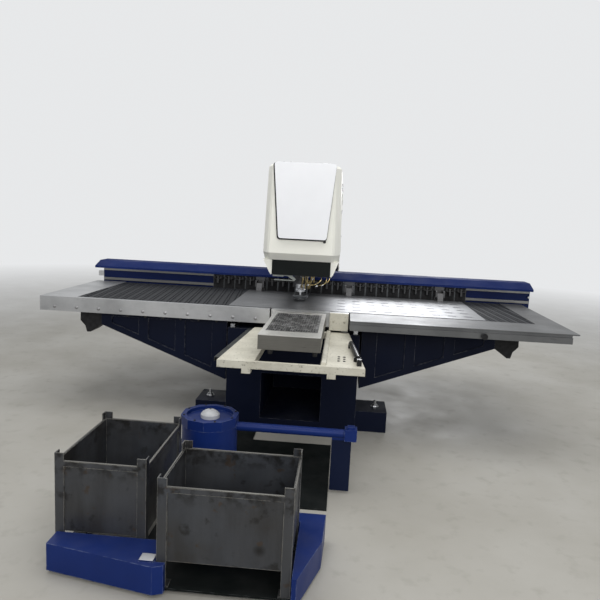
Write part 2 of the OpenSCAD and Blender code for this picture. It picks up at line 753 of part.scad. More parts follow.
// Aluminium shelf in front of the right wing: plate, grooved front rail, middle rib and rear rail
module right_profile() color("gainsboro") difference() {
    plate = 12;
    mid = -shelf_d / 2;
    along_x(right_gap, wing_span / 2) translate([-wing_front, table_h]) polygon([
        [0, 0], [-shelf_d, 0], [-shelf_d, -6], [-shelf_d + 16, -6], [-shelf_d + 16, -shelf_t + 44],
        [-shelf_d + 2, -shelf_t + 44], [-shelf_d + 2, -shelf_t], [-shelf_d + 42, -shelf_t],
        [-shelf_d + 42, -plate], [mid - 15, -plate], [mid - 15, -shelf_t + 20], [mid + 15, -shelf_t + 20],
        [mid + 15, -plate], [-34, -plate], [-34, -wing_t], [0, -wing_t]]);
    span([wing_span / 2 - 45, -wing_front - shelf_d - 1, wing_z - 1],
        [wing_span / 2 + 1, -wing_front - 35, table_h - plate]);
}

// Knob on the front rail of the shelf
module profile_knob() color("gray") {
    translate([knob_x, -wing_front - shelf_d + 2, table_h - shelf_t + 22]) rotate([90, 0, 0]) {
        cylinder(r = 14, h = 20, $fn = 32);
        translate([0, 0, 20]) cylinder(r = 22, h = 16, $fn = 32);
    }
}

// Tapered console under one wing, with shallow panels and brackets that reach to the beam
module console(s) mirror([s < 0 ? 1 : 0, 0, 0]) {
    x0 = base_half + 15;
    rise = (console_tip_z - console_root_z) / (console_half - x0);
    panel_w = 220;
    difference() {
        along_y(-wing_front + 60, wing_back - 100) polygon([
            [x0, console_root_z], [console_half, console_tip_z], [console_half, wing_z], [x0, wing_z]]);
        for (i = [0 : 2]) along_y(-wing_front + 59, -wing_front + 72) {
            x = x0 + 120 + i * 300;
            low = console_root_z + rise * (x - x0) + 50;
            polygon([[x, low], [x + panel_w, low + rise * panel_w],
                [x + panel_w, wing_z - 30], [x, wing_z - 30]]);
        }
    }
    for (x = [x0 + 165, console_half - 180]) along_x(x, x + 80) polygon([
        [wing_back - 100, wing_z], [wing_back - 100, wing_z - 60], [beam_front + 80, wing_z - 30],
        [beam_front + 80, beam_z], [beam_front, beam_z], [wing_back + 30, wing_z]]);
}

module left_console() color("midnightblue") console(-1);
module right_console() color("midnightblue") console(1);

// Rubber buffers at the outer ends of the consoles
module console_end_blocks() color("black")
    for (s = [-1, 1]) mirror([s < 0 ? 1 : 0, 0, 0]) difference() {
        along_y(-wing_front + 80, -wing_front + 260) translate([console_half, console_tip_z]) polygon([
            [0, 0], [55, -38], [102, -72], [131, -72], [144, -23], [185, 21], [182, wing_z - console_tip_z],
            [0, wing_z - console_tip_z]]);
        translate([console_half + 95, -wing_front + 81, console_tip_z + 30]) rotate([90, 0, 0])
            cylinder(r = 24, h = 12, $fn = 32);
    }

// Guide blocks that carry the wings and consoles on the rails
module y_guide_blocks() color("dimgray")
    for (s = [-1, 1], y = [-base_front + y_front_travel + 30, wing_back - 150]) mirror([s < 0 ? 1 : 0, 0, 0])
        difference() {
            half = rail_w / 2 + pass_gap;
            span([rail_x - 34, y, lower_arm_h + 6], [base_half + 15, y + 140, wing_z]);
            span([rail_x - half, y - 1, lower_arm_h],
                [rail_x + half, y + 141, lower_arm_h + rail_h + pass_gap]);
        }

// X beam, with pockets in its rear face
module x_beam() color("mediumblue") difference() {
    pitch = (beam_left + beam_right - 60) / 8;
    span([-beam_left, beam_front, beam_z], [beam_right, beam_front + beam_d, beam_top]);
    for (i = [0 : 7]) span([-beam_left + 90 + i * pitch, beam_front + beam_d - 60, beam_z + 40],
        [-beam_left - 30 + (i + 1) * pitch, beam_front + beam_d + 1, beam_top - 40]);
}

// Folded hood over the beam, with its lip over the stations and webs on the beam's top
module beam_hood() color("mediumblue") {
    lip_y = cassette_front + 30;
    ridge_y = beam_front + 60;
    back_y = beam_front + beam_d + 20;
    top = beam_top + 62;
    t = 4;
    left = -beam_left - hood_over;
    right = beam_right + 10;
    along_x(left, right) polygon([
        [lip_y, beam_top - 4], [lip_y, beam_top + 16], [ridge_y, top], [back_y, top],
        [back_y, beam_top - 60], [back_y - t, beam_top - 60], [back_y - t, top - t],
        [ridge_y + 1, top - t], [lip_y + t, beam_top + 16 - t], [lip_y + t, beam_top - 4]]);
    for (i = [0 : 8]) {
        x = -beam_left + i * (beam_left + beam_right - 20) / 8;
        span([x, ridge_y + 2, beam_top], [x + 20, back_y - t, top - t]);
    }
}

// Two guide rails on the beam's front
module x_guide_rails() color("silver")
    for (z = x_rail_zs)
        span([-beam_left + 10, beam_front - 20, z - 12], [beam_right - 10, beam_front, z + 12]);

// End fittings of the beam: a block under the left end of the hood, a round stop at the right end
module beam_end_fittings() color("lightgray") {
    span([-beam_left - hood_over + 6, beam_front + 2, beam_top - 90],
        [-beam_left, beam_front + 50, beam_top - 40]);
    translate([-beam_left - 30, beam_front + 2, beam_top - 65]) rotate([90, 0, 0])
        cylinder(r = 9, h = 2, $fn = 32);
    rod_y([beam_right - 12, beam_front - 20, (x_rail_zs[0] + x_rail_zs[1]) / 2], 20, 9);
}

// Saddle that carries the stations along the beam, with its guide blocks
module x_saddle() color("dimgray") {
    block_l = 120;
    first = -(beam_left - 20) + x_left_travel;
    last = beam_right - 20 - x_right_travel - block_l;
    half = 12 + pass_gap;
    span([mag_left, saddle_front, saddle_z], [mag_right, rail_front, saddle_top]);
    for (x = [first, (first + last) / 2, last], z = x_rail_zs) difference() {
        span([x, rail_front, z - 26], [x + block_l, beam_front - 2, z + 26]);
        span([x - 1, beam_front - 20 - pass_gap, z - half], [x + block_l + 1, beam_front, z + half]);
    }
}

function is_clamp(k) = len([for (c = clamp_at) if (c == k) 1]) > 0;
stations = [for (k = [-stations_left : stations_right]) if (!is_clamp(k)) k];

// Plastic cassettes, one for each tool: back, upper fork with two prongs, lower cradle
module tool_cassettes() color("black")
    for (k = stations) translate([k * station_pitch, 0, 0]) {
        back = saddle_front - 12;
        span([-cassette_w / 2, back, saddle_z], [cassette_w / 2, saddle_front, saddle_top + 4]);
        for (s = [-1, 1]) span([s * cassette_w / 2, cassette_front + 4, fork_z],
            [s * (stored_r + 2), back, fork_z + fork_t]);
        difference() {
            span([-cassette_w / 2, cassette_front, saddle_z], [cassette_w / 2, back, saddle_z + 10]);
            translate([0, stored_y, saddle_z - 1]) cylinder(r = 12, h = 12, $fn = 24);
        }
    }

// Tools stored in the cassettes: punch hanging by its flange, and die in the cradle
module station_tools() color("silver")
    for (k = stations) if (k != 0) translate([k * station_pitch, stored_y, 0]) {
        translate([0, 0, fork_z - 46]) cylinder(r = stored_r, h = 46 + fork_t, $fn = 24);
        translate([0, 0, fork_z + fork_t]) cylinder(r = stored_r + 6, h = 8, $fn = 24);
        translate([0, 0, saddle_z + 10]) cylinder(r = 26, h = 16, $fn = 24);
    }

// One clamp body: arm from the saddle over the rear edge of the table, with its cross pin
module clamp_body() {
    neck_z = saddle_z + 96;
    span([-clamp_w / 2, cassette_front, neck_z], [clamp_w / 2, saddle_front, saddle_top + 4]);
    span([-clamp_w / 2, cassette_front + 4, saddle_z], [clamp_w / 2, saddle_front, neck_z]);
    for (s = [-1, 1]) span([s * clamp_w / 2, clamp_reach + 8, table_h + 34],
        [s * (clamp_w / 2 - 16), cassette_front, table_h + 92]);
    rod_x([-clamp_w / 2, clamp_pin_y, clamp_pin_z], clamp_w, 6);
}

module clamp_bodies() color("gainsboro")
    for (k = clamp_at) translate([k * station_pitch, 0, 0]) clamp_body();

// Upper jaw that swings on the clamp's cross pin and presses on the sheet
module clamp_jaw(k) color("silver") translate([k * station_pitch, 0, 0]) {
    w = clamp_w - 33;
    difference() {
        along_x(-w / 2, w / 2) translate([clamp_reach, table_h]) polygon([
            [-20, sheet_t], [14, sheet_t], [18, 24], [34, 44], [34, 70], [14, 72], [-10, 30]]);
        rod_x([-w, clamp_pin_y, clamp_pin_z], 2 * w, 6 + run_fit);
    }
}

module clamp_jaw_1() clamp_jaw(clamp_at[0]);
module clamp_jaw_2() clamp_jaw(clamp_at[1]);
module clamp_jaw_3() clamp_jaw(clamp_at[2]);

// Sheet on the table with its punched slots and the cut-out under the tool, held by the clamps
module sheet() color("lightgray") difference() {
    span([sheet_right - sheet_l, sheet_front, table_h], [sheet_right, sheet_back, table_h + sheet_t]);
    span([-cut_w / 2, -cut_w / 2, table_h - 1], [cut_w / 2, cut_w / 2, table_h + sheet_t + 1]);
    for (i = [0 : 8], j = [0 : 4])
        translate([slot_start[0] + i * slot_pitch[0],
            sheet_front + slot_start[1] + j * slot_pitch[1], table_h - 1])
            cube([slot_size[0], slot_size[1], sheet_t + 2]);
}

// Cream cast plate below the flap, with its window, bolt holes, rib and lugs
module chute_plate() color("ivory") {
    difference() {
        translate([0, 0, chute_z - chute_t]) linear_extrude(chute_t) polygon([
            [-chute_left, -chute_front], [chute_right, -chute_front], [chute_right_rear, -chute_back],
            [-chute_left_rear, -chute_back]]);
        span([-window_left, -chute_front + chute_bar, chute_z - chute_t - 1],
            [window_right, -tray_back + 2, chute_z + 1]);
        for (x = [chute_right - 161, chute_right - 126], y = [270, 160])
            translate([x, -chute_front + y, chute_z - chute_t - 1])
                cylinder(r = 9, h = chute_t + 2, $fn = 32);
    }
    span([window_right + 6, -chute_front + 40, chute_z], [window_right + 34, -chute_back - 20, chute_z + 14]);
    for (x = lug_xs)
        span([x, -chute_front, chute_z - chute_t - lug_h], [x + lug_w, -chute_front + 60, chute_z - chute_t]);
}

// Arms from the base that carry the chute plate
module chute_arms() color("midnightblue") {
    top = chute_z - chute_t;
    root_h = 110;
    root_l = 240;
    for (x = lug_xs) along_x(x, x + lug_w) polygon([
        [-chute_front + 60, top - lug_h], [-chute_front + 60, top], [-base_front, top],
        [-base_front, top - root_h], [-base_front - root_l, top - lug_h - 10]]);
}

// Dark channel along the plate's left edge
module chute_channel() color("dimgray")
    translate([-chute_left, -chute_front, chute_z]) rotate([0, 0, -chute_left_turn])
        along_y(60, chute_l - 40) polygon([
            [0, 0], [-34, 0], [-34, -26], [-28, -26], [-28, -6], [-6, -6], [-6, -26], [0, -26]]);

// Air cylinder on the plate's right edge, with its rod and brackets
module flap_cylinder() color("silver")
    translate([chute_right - 30, -chute_front, chute_z]) rotate([0, 0, chute_right_turn]) {
        body_l = 0.4 * chute_l;
        rod_y([0, 150, 26], body_l, 18);
        rod_y([0, 90, 26], 60, 8);
        span([-14, 60, 0], [14, 90, 40]);
        for (y = [165, 150 + body_l - 45]) span([-22, y, 0], [22, y + 30, 26]);
    }

// Hinge bracket of the flap, on the front of the fixed table
module flap_hinge() color("dimgray") {
    for (x = tray_hinge_xs) {
        span([x, hinge_y - 14, hinge_z - 20], [x + 40, -fixed_front, hinge_z + 20]);
        rod_x([x - 30, hinge_y, hinge_z], 100, pin_r);
    }
}

// Flap tray: folded box with a rim, open on top for its brush panel
module flap_tray() color("silver") difference() {
    span([-tray_left, -tray_front, tray_z], [tray_right, -tray_back, fixed_top]);
    span([-tray_left + tray_rim, -tray_front + tray_rim, table_h - 24],
        [tray_right - tray_rim, -tray_back - tray_rim - 40, table_h + 1]);
    span([-tray_left + tray_skin, -tray_front + tray_skin, tray_z - 1],
        [tray_right - tray_skin, -tray_back - 110, table_h - 32]);
    for (x = tray_hinge_xs) {
        span([x - 1, hinge_y - 40, tray_z - 1], [x + 41, -tray_back + 1, table_h - 24]);
        rod_x([x - 31, hinge_y, hinge_z], 102, pin_r + run_fit);
    }
}

module flap_brush() color("darkslategray") {
    x0 = -tray_left + tray_rim;
    x1 = tray_right - tray_rim;
    y1 = -tray_back - tray_rim - 40;
    span([x0, -tray_front + tray_rim, table_h - 24], [x1, y1, table_h - 4]);
    for (i = [0 : 10]) translate([0, -tray_front + tray_rim + 14 + i * 76, table_h - 4])
        linear_extrude(4 - sheet_gap)
            polygon([[x0 + 8, 0], [x1 - 8, 18], [x1 - 8, 52], [x0 + 8, 34]]);
}

// Steel plate on the floor that ties the carousel to the base
module floor_plate() color("dimgray") {
    span([-plate_left, -plate_front, 0], [plate_right, -plate_back, floor_t]);
    span([-plate_left, -plate_back, 0], [-scrap_half, -base_front, floor_t]);
}

// Fixed spindle with its flange
module hub_spindle() color("silver") translate([hub[0], hub[1], 0]) {
    translate([0, 0, floor_t]) cylinder(r = 130, h = flange_h, $fn = 64);
    translate([0, 0, floor_t + flange_h])
        cylinder(r = spindle_r, h = hub_top - 80 - floor_t - flange_h, $fn = 64);
}

// Outer form of the drum: round below, flat-sided rim above
module drum_form() translate([hub[0], hub[1], 0]) {
    translate([0, 0, drum_z]) cylinder(r = hub_r - 8, h = hub_top - hub_rim_h - drum_z, $fn = 64);
    translate([0, 0, hub_top - hub_rim_h]) rotate([0, 0, 18]) cylinder(r = hub_r, h = hub_rim_h, $fn = 10);
}

// Turning drum with a recess under the cap
module hub_drum() color("mediumblue") difference() {
    drum_form();
    translate([hub[0], hub[1], 0]) {
        translate([0, 0, hub_top - 24]) cylinder(r = hub_r - 34, h = 30, $fn = 64);
        translate([0, 0, floor_t]) cylinder(r = spindle_r + run_fit, h = hub_top - 78 - floor_t, $fn = 64);
    }
}

module hub_cap() color("white") translate([hub[0], hub[1], hub_top - 24]) difference() {
    union() {
        cylinder(r = 58, h = 20, $fn = 64);
        intersection() {
            translate([0, 0, -18]) sphere(r = 70, $fn = 48);
            cylinder(r = 58, h = 60, $fn = 64);
        }
    }
    translate([0, 0, -1]) cylinder(r = 10, h = 8, $fn = 24);
}

// Low frame that carries the bins: a plate, an open frame, their tie, and two beams from the drum
module carousel_frame() color("mediumblue") {
    z0 = tray_plate_z;
    z1 = bin_foot_z;
    g = bay_gap;
    span([front_bin_at[0] - g, front_bin_at[1] - g, z0], [front_bin_at[0] + bin_l + g, front_back + g, z1]);
    difference() {
        span([left_bin_at[0] - g, left_bin_at[1] - g, z0], [left_right + g, left_back + g, z1]);
        span([left_bin_at[0] + 60, left_bin_at[1] + 60, z0 - 1], [left_right - 60, left_back - 60, z1 + 1]);
    }
    span([left_right, left_bin_at[1], z0], [front_bin_at[0], front_back - 60, z1]);
    difference() {
        union() {
            span([hub[0] + 75, front_back - 60, z1], [hub[0] + 140, hub[1] - 50, z1 + 60]);
            span([hub[0] - 175, left_back + 2, z0], [hub[0] - 131, hub[1] - 50, z1 + 60]);
        }
        translate([hub[0], hub[1], 0]) cylinder(r = hub_r - 8, h = hub_top, $fn = 64);
    }
}

// Round arm with its end block, button and foot plate
module carousel_arm() color("mediumblue") {
    end = hub[0] + arm_reach;
    difference() {
        rod_x([hub[0], hub[1], arm_z], arm_reach - 60, arm_r);
        drum_form();
    }
    span([end - 74, hub[1] - 40, arm_z - 34], [end, hub[1] + 40, arm_z + 36]);
    span([end - 58, hub[1] - 22, arm_z + 36], [end - 14, hub[1] + 22, arm_z + 50]);
    span([end - 150, hub[1] - 6, tray_plate_z], [end - 30, hub[1] + 6, arm_z - 10]);
}

// Low blue skirts around the bins, with a plain pale plate on the left one
module skirts() color("mediumblue") translate([0, 0, tray_plate_z]) {
    h = skirt_h - tray_plate_z;
    x0 = left_bin_at[0] + 12;
    x1 = front_bin_at[0] - bay_gap;
    x2 = front_bin_at[0] + bin_l + bay_gap;
    y0 = left_bin_at[1] - bay_gap;
    y1 = front_bin_at[1] - bay_gap;
    linear_extrude(h) polygon([[x0, y0], [x0, y0 - 106], [x1 + 2, y1 - 44], [x1 + 48, y1 - 25], [x1 + 48, y1],
        [x1, y1], [x1, y0]]);
    y3 = front_back + 98;
    linear_extrude(h) polygon([[x2 - 30, y3], [x2 + right_skirt_w, y3], [x2 + right_skirt_w - 10, y3 - 268],
        [x2 + 22, y1 - 40], [x2, y1 - 34], [x2, front_back + bay_gap], [x2 - 30, front_back + bay_gap]]);
    translate([x1 - 68, y1 - 10, h]) cube([64, 56, 8]);
}

// Steel bin with folded rim, corner posts and legs
module bin(l, w) {
    post = 44;
    t = 5;
    difference() {
        translate([8, 8, bin_floor]) cube([l - 16, w - 16, bin_rim - bin_floor]);
        translate([8 + bin_wall, 8 + bin_wall, bin_floor + bin_wall])
            cube([l - 16 - 2 * bin_wall, w - 16 - 2 * bin_wall, bin_rim]);
    }
    difference() {
        translate([0, 0, bin_rim - 26]) cube([l, w, 26]);
        translate([8, 8, bin_rim - 27]) cube([l - 16, w - 16, 28]);
    }
    for (mx = [0, 1], my = [0, 1]) translate([mx * l, my * w, 0]) mirror([mx, 0, 0]) mirror([0, my, 0]) {
        difference() {
            translate([0, 0, bin_foot_z]) cube([post, post, bin_rim - 26 - bin_foot_z]);
            translate([8, 8, bin_foot_z - 1]) cube([post, post, bin_post]);
        }
        difference() {
            translate([0, 0, bin_rim]) cube([post, post, bin_post - bin_rim]);
            translate([t, t, bin_rim - 1]) cube([post, post, bin_post]);
        }
        translate([0, 0, bin_foot_z]) cube([post + 10, post + 10, 6]);
    }
}

module left_bin() color("slategray") translate([left_bin_at[0], left_bin_at[1], 0]) bin(bin_w, bin_l);
module front_bin() color("slategray") translate([front_bin_at[0], front_bin_at[1], 0]) bin(bin_l, bin_w);

c_frame();
power_inlet();
y_guide_rails();
fixed_table();
table_block();
die_seat();
die_holder();
die();
head_cover();
front_panel();
head_cheeks();
work_lamp();
oil_pipes();
ram_guide();
ram_drive();
ram();
tool_holder();
punch();
down_holder();
head_door();
door_hinges();
left_wing();
right_wing();
left_brushes();
right_brushes();
left_apron();
right_profile();
profile_knob();
left_console();
right_console();
console_end_blocks();
y_guide_blocks();
x_beam();
beam_hood();
x_guide_rails();
beam_end_fittings();
x_saddle();
tool_cassettes();
station_tools();
clamp_bodies();
clamp_jaw_1();
clamp_jaw_2();
clamp_jaw_3();
sheet();
chute_plate();
chute_arms();
chute_channel();
flap_cylinder();
flap_hinge();
flap_tray();
flap_brush();
floor_plate();
hub_spindle();
hub_drum();
hub_cap();
carousel_frame();
carousel_arm();
skirts();
left_bin();
front_bin();
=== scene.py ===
import math

import bmesh
import bpy
from mathutils import Matrix, Vector


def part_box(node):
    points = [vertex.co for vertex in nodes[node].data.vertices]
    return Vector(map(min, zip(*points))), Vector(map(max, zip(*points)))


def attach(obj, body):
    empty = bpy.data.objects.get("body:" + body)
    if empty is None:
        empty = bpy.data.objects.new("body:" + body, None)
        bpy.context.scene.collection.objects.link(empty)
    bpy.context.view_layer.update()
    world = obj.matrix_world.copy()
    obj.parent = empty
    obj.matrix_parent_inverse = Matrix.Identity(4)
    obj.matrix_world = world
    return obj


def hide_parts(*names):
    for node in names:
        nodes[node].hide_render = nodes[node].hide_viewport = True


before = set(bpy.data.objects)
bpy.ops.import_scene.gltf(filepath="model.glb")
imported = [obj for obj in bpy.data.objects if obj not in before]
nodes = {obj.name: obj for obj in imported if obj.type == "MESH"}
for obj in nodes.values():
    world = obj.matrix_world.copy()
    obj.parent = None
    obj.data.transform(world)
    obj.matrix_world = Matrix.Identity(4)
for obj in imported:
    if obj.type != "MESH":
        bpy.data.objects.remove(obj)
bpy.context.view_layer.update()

# The view: a person stands a little right of the punching head, at eye height, and holds the
# camera slightly tilted. Its place and turn were fitted to the straight edges of the machine.
eye = Vector((0.361, -5.160, 1.700))
turn_left, look_down, tilt = (math.radians(a) for a in (4.0, 8.25, 2.8))
ahead = Vector((-math.sin(turn_left) * math.cos(look_down),
                math.cos(turn_left) * math.cos(look_down), -math.sin(look_down)))
level_right = Vector((math.cos(turn_left), math.sin(turn_left), 0))
level_up = level_right.cross(ahead)
to_right = math.cos(tilt) * level_right + math.sin(tilt) * level_up
to_top = math.cos(tilt) * level_up - math.sin(tilt) * level_right
camera = bpy.data.objects.new("camera", bpy.data.cameras.new("camera"))
bpy.context.scene.collection.objects.link(camera)
camera.data.sensor_width = 36
camera.data.lens = 36
facing = Matrix((to_right, to_top, -ahead)).transposed().to_4x4()
camera.matrix_world = Matrix.Translation(eye) @ facing
bpy.context.scene.camera = camera


# The studio: a pale concrete floor that fades into an even pale surround, with soft lamps
# overhead, on the operator's side and behind the right wing.
def finish(name, roughness, metallic=0.0, specular=0.5):
    """A new material. Its shader's sockets hold what is the same all over."""
    mat = bpy.data.materials.new(name)
    mat.use_nodes = True
    shader = mat.node_tree.nodes["Principled BSDF"]
    shader.inputs["Roughness"].default_value = roughness
    shader.inputs["Metallic"].default_value = metallic
    shader.inputs["Specular IOR Level"].default_value = specular
    return mat


def step(mat, kind, inputs=(), **settings):
    """Adds one shader node and wires or sets its inputs, given as (socket, value) pairs."""
    made = mat.node_tree.nodes.new(kind)
    for key, value in settings.items():
        setattr(made, key, value)
    for socket, value in inputs:
        if isinstance(value, bpy.types.NodeSocket):
            mat.node_tree.links.new(value, made.inputs[socket])
        else:
            made.inputs[socket].default_value = value
    return made


def into(mat, socket, value):
    """Wires a value into the material's principled shader."""
    mat.node_tree.links.new(value, mat.node_tree.nodes["Principled BSDF"].inputs[socket])


def own_place(mat):
    """The shaded point in the piece's own coordinates."""
    return step(mat, "ShaderNodeTexCoord").outputs["Object"]


def grain(mat, scale, stretch=(1, 1, 1), detail=4.0, turn=0.0):
    """Noise over the piece in its own coordinates, drawn out where stretch is small."""
    laid = step(mat, "ShaderNodeMapping", [("Vector", own_place(mat)), ("Rotation", (0, 0, turn)),
                                           ("Scale", stretch)]).outputs[0]
    return step(mat, "ShaderNodeTexNoise", [("Vector", laid), ("Scale", scale), ("Detail", detail),
                                            ("Roughness", 0.55)]).outputs["Fac"]


def span(mat, value, low, high, out_low=0.0, out_high=1.0):
    """Maps a value from low..high to out_low..out_high, clamped."""
    return step(mat, "ShaderNodeMapRange", [("Value", value), ("From Min", low), ("From Max", high),
                                            ("To Min", out_low), ("To Max", out_high)]).outputs[0]


mix_amount, mix_one, mix_other, mix_result = 0, 6, 7, 2


def mixed(mat, amount, one, other):
    """Goes from colour one to colour other as amount goes from 0 to 1."""
    parts = [(mix_amount, amount), (mix_one, one), (mix_other, other)]
    return step(mat, "ShaderNodeMix", parts, data_type="RGBA").outputs[mix_result]


def sums(mat, operation, one, other):
    """One step of arithmetic on two values."""
    return step(mat, "ShaderNodeMath", [(0, one), (1, other)], operation=operation).outputs[0]


def times(mat, *values):
    """All the values multiplied."""
    made = values[0]
    for value in values[1:]:
        made = sums(mat, "MULTIPLY", made, value)
    return made


surround_colour = (0.80, 0.81, 0.82, 1)
floor_radius, fade_from, fade_to = 60, 4.0, 13.0
floor = bpy.data.objects.new("floor", bpy.data.meshes.new("floor"))
bpy.context.scene.collection.objects.link(floor)
bm = bmesh.new()
bmesh.ops.create_circle(bm, cap_ends=True, segments=64, radius=floor_radius)
bm.to_mesh(floor.data)
bm.free()
pale_floor = finish("pale_floor", 0.6, specular=0.25)
spots = times(pale_floor, span(pale_floor, grain(pale_floor, 9, detail=8), 0.55, 0.72), 0.35)
concrete = mixed(pale_floor, span(pale_floor, grain(pale_floor, 0.9, detail=7), 0.3, 0.7),
                 (0.40, 0.385, 0.345, 1), (0.50, 0.49, 0.455, 1))
into(pale_floor, "Base Color", mixed(pale_floor, spots, concrete, (0.30, 0.285, 0.25, 1)))
into(pale_floor, "Roughness", span(pale_floor, grain(pale_floor, 2.5), 0.3, 0.7, 0.42, 0.7))
reach = step(pale_floor, "ShaderNodeVectorMath", [(0, own_place(pale_floor))], operation="LENGTH")
far_glow = step(pale_floor, "ShaderNodeEmission", [("Color", surround_colour), ("Strength", 1.0)])
blend = step(pale_floor, "ShaderNodeMixShader",
             [(0, span(pale_floor, reach.outputs["Value"], fade_from, fade_to)),
              (1, pale_floor.node_tree.nodes["Principled BSDF"].outputs[0]), (2, far_glow.outputs[0])])
surface = pale_floor.node_tree.nodes["Material Output"].inputs["Surface"]
pale_floor.node_tree.links.new(blend.outputs[0], surface)
floor.data.materials.append(pale_floor)


def soft_lamp(name, at, towards, width, height, watts, colour):
    """A rectangular lamp that looks towards a point and isn't seen itself."""
    lamp = bpy.data.objects.new(name, bpy.data.lights.new(name, "AREA"))
    bpy.context.scene.collection.objects.link(lamp)
    lamp.data.shape = "RECTANGLE"
    lamp.data.size, lamp.data.size_y = width, height
    lamp.data.energy = watts
    lamp.data.color = colour
    lamp.location = at
    lamp.rotation_euler = (Vector(towards) - Vector(at)).to_track_quat("-Z", "Y").to_euler()
    lamp.visible_camera = False


soft_lamp("overhead", (0.2, -1.6, 5.4), (0.2, -0.6, 0.6), 7.0, 4.0, 175, (1.0, 0.99, 0.97))
soft_lamp("operator_side", (1.2, -8.0, 3.8), (0.2, 0.0, 1.1), 6.0, 3.0, 225, (1.0, 0.99, 0.98))
soft_lamp("rear_window", (1.25, 4.6, 2.6), (0.75, 0.0, 0.95), 1.8, 1.2, 60, (0.97, 0.98, 1.0))

# The surround is one pale grey on all sides. It is seen and mirrored at its full level, and lights
# the part at a lower one.
lit_level = 0.42
world = bpy.data.worlds.new("surround")
bpy.context.scene.world = world
world.use_nodes = True
background = world.node_tree.nodes["Background"]
background.inputs["Color"].default_value = surround_colour
rays = step(world, "ShaderNodeLightPath").outputs
seen = sums(world, "MAXIMUM", rays["Is Camera Ray"], rays["Is Transmission Ray"])
mirrored = sums(world, "MAXIMUM", seen, rays["Is Glossy Ray"])
world.node_tree.links.new(span(world, mirrored, 0.0, 1.0, lit_level, 1.0), background.inputs["Strength"])
bpy.context.scene.view_settings.view_transform = "Standard"


# The welded machine frame stands on the floor: a wide lower arm, a rear column and the upper arm
# over the table. It is sprayed in a very dark blue, with oily dust on what faces up.
def shade(colour, factor):
    """A colour made darker or lighter."""
    return tuple(min(1.0, c * factor) for c in colour[:3]) + (1.0,)


def relief(mat, height, depth):
    """Turns a height into bumps of the given depth in metres."""
    bump = step(mat, "ShaderNodeBump", [("Height", height), ("Distance", depth), ("Strength", 1.0)])
    into(mat, "Normal", bump.outputs[0])


def edges(mat, width):
    """1 within width of a sharp edge, 0 on the flats."""
    soft = step(mat, "ShaderNodeBevel", [("Radius", width)], samples=4).outputs[0]
    sharp = step(mat, "ShaderNodeNewGeometry").outputs["Normal"]
    same = step(mat, "ShaderNodeVectorMath", [(0, soft), (1, sharp)], operation="DOT_PRODUCT")
    return span(mat, same.outputs["Value"], 0.99, 0.80)


def upward(mat):
    """1 on what faces up, 0 on walls and undersides."""
    normal = step(mat, "ShaderNodeNewGeometry").outputs["Normal"]
    return span(mat, step(mat, "ShaderNodeSeparateXYZ", [(0, normal)]).outputs["Z"], 0.4, 0.95)


def wear(mat, *node_names):
    """Puts a material on CAD nodes."""
    for name in node_names:
        slots = nodes[name].data.materials
        slots.clear()
        slots.append(mat)


def paint(name, colour, roughness, dust, chips, specular=0.25, dust_colour=(0.17, 0.17, 0.165, 1),
          chip_colour=(0.30, 0.31, 0.33, 1), clouds=(0.80, 1.15)):
    """Sprayed and baked paint: cloudy tone, fine orange peel, dust on the flats, and worn edges, which are
    also a painted highlight where they are lighter than the paint.
    """
    mat = finish(name, roughness, specular=specular)
    cloud = span(mat, grain(mat, 2.2, detail=6), 0.3, 0.7)
    tone = mixed(mat, cloud, shade(colour, clouds[0]), shade(colour, clouds[1]))
    settled = times(mat, upward(mat), span(mat, grain(mat, 7, detail=8), 0.38, 0.7, 0.25, 1), dust)
    dusty = mixed(mat, settled, tone, dust_colour)
    # Edge mask: worn paint, and where the chip colour is lighter, a painted highlight along the edges.
    worn_and_highlit_edges = times(mat, edges(mat, 0.005), span(mat, grain(mat, 26, detail=5), 0.40, 0.58), chips)
    into(mat, "Base Color", mixed(mat, worn_and_highlit_edges, dusty, chip_colour))
    smooth, matt = roughness * 0.85, min(1, roughness * 1.3)
    into(mat, "Roughness", span(mat, grain(mat, 5, detail=6), 0.3, 0.7, smooth, matt))
    relief(mat, grain(mat, 420, detail=1), 0.00006)
    return mat


navy = paint("frame_navy", (0.0026, 0.0052, 0.0175), 0.52, 0.09, 0.5, specular=0.12)
wear(navy, "c_frame", "left_console", "right_console", "chute_arms")


# Slides, ram, tools and hinges are steel: oiled where they are milled, bright where they are
# ground, and dull and dark on the hardened tools and the sheet clamps. All are bolted or run in guides.
def brushed(name, colour, roughness, along, smudge, metallic=1.0):
    """Ground or rolled metal: fine lines along one axis, cloudy handling marks and scratches."""
    mat = finish(name, roughness, metallic)
    across = tuple(1.5 if axis == along else 160 for axis in range(3))
    lines = grain(mat, 4, across, detail=3)
    cloud = span(mat, grain(mat, 3.1, detail=7), 0.35, 0.68)
    tone = mixed(mat, times(mat, cloud, smudge), shade(colour, 1.0), shade(colour, 0.5))
    lined = mixed(mat, span(mat, lines, 0.35, 0.65, 0, 0.35), tone, shade(colour, 0.72))
    marks = span(mat, grain(mat, 38, (0.25, 1, 1), detail=4, turn=0.6), 0.66, 0.70, 0, 0.5)
    into(mat, "Base Color", mixed(mat, marks, lined, shade(colour, 0.45)))
    rough = span(mat, lines, 0.3, 0.7, roughness * 0.8, roughness * 1.3)
    into(mat, "Roughness", sums(mat, "ADD", rough, times(mat, cloud, 0.08)))
    relief(mat, lines, 0.00008)
    return mat


along_x, along_y, along_z = 0, 1, 2
oiled = brushed("oiled_steel", (0.10, 0.105, 0.11), 0.38, along_z, 0.5)
wear(oiled, "power_inlet", "die_seat", "ram_guide", "ram_drive", "down_holder", "y_guide_blocks",
     "x_saddle", "flap_hinge")
ground = brushed("ground_steel", (0.58, 0.59, 0.61), 0.22, along_z, 0.3)
wear(ground, "y_guide_rails", "die_holder", "die", "punch", "tool_holder", "door_hinges", "hub_spindle")
dull = brushed("dull_steel", (0.085, 0.085, 0.088), 0.40, along_z, 0.4)
wear(dull, "ram", "station_tools", "clamp_bodies", "clamp_jaw_1", "clamp_jaw_2", "clamp_jaw_3")


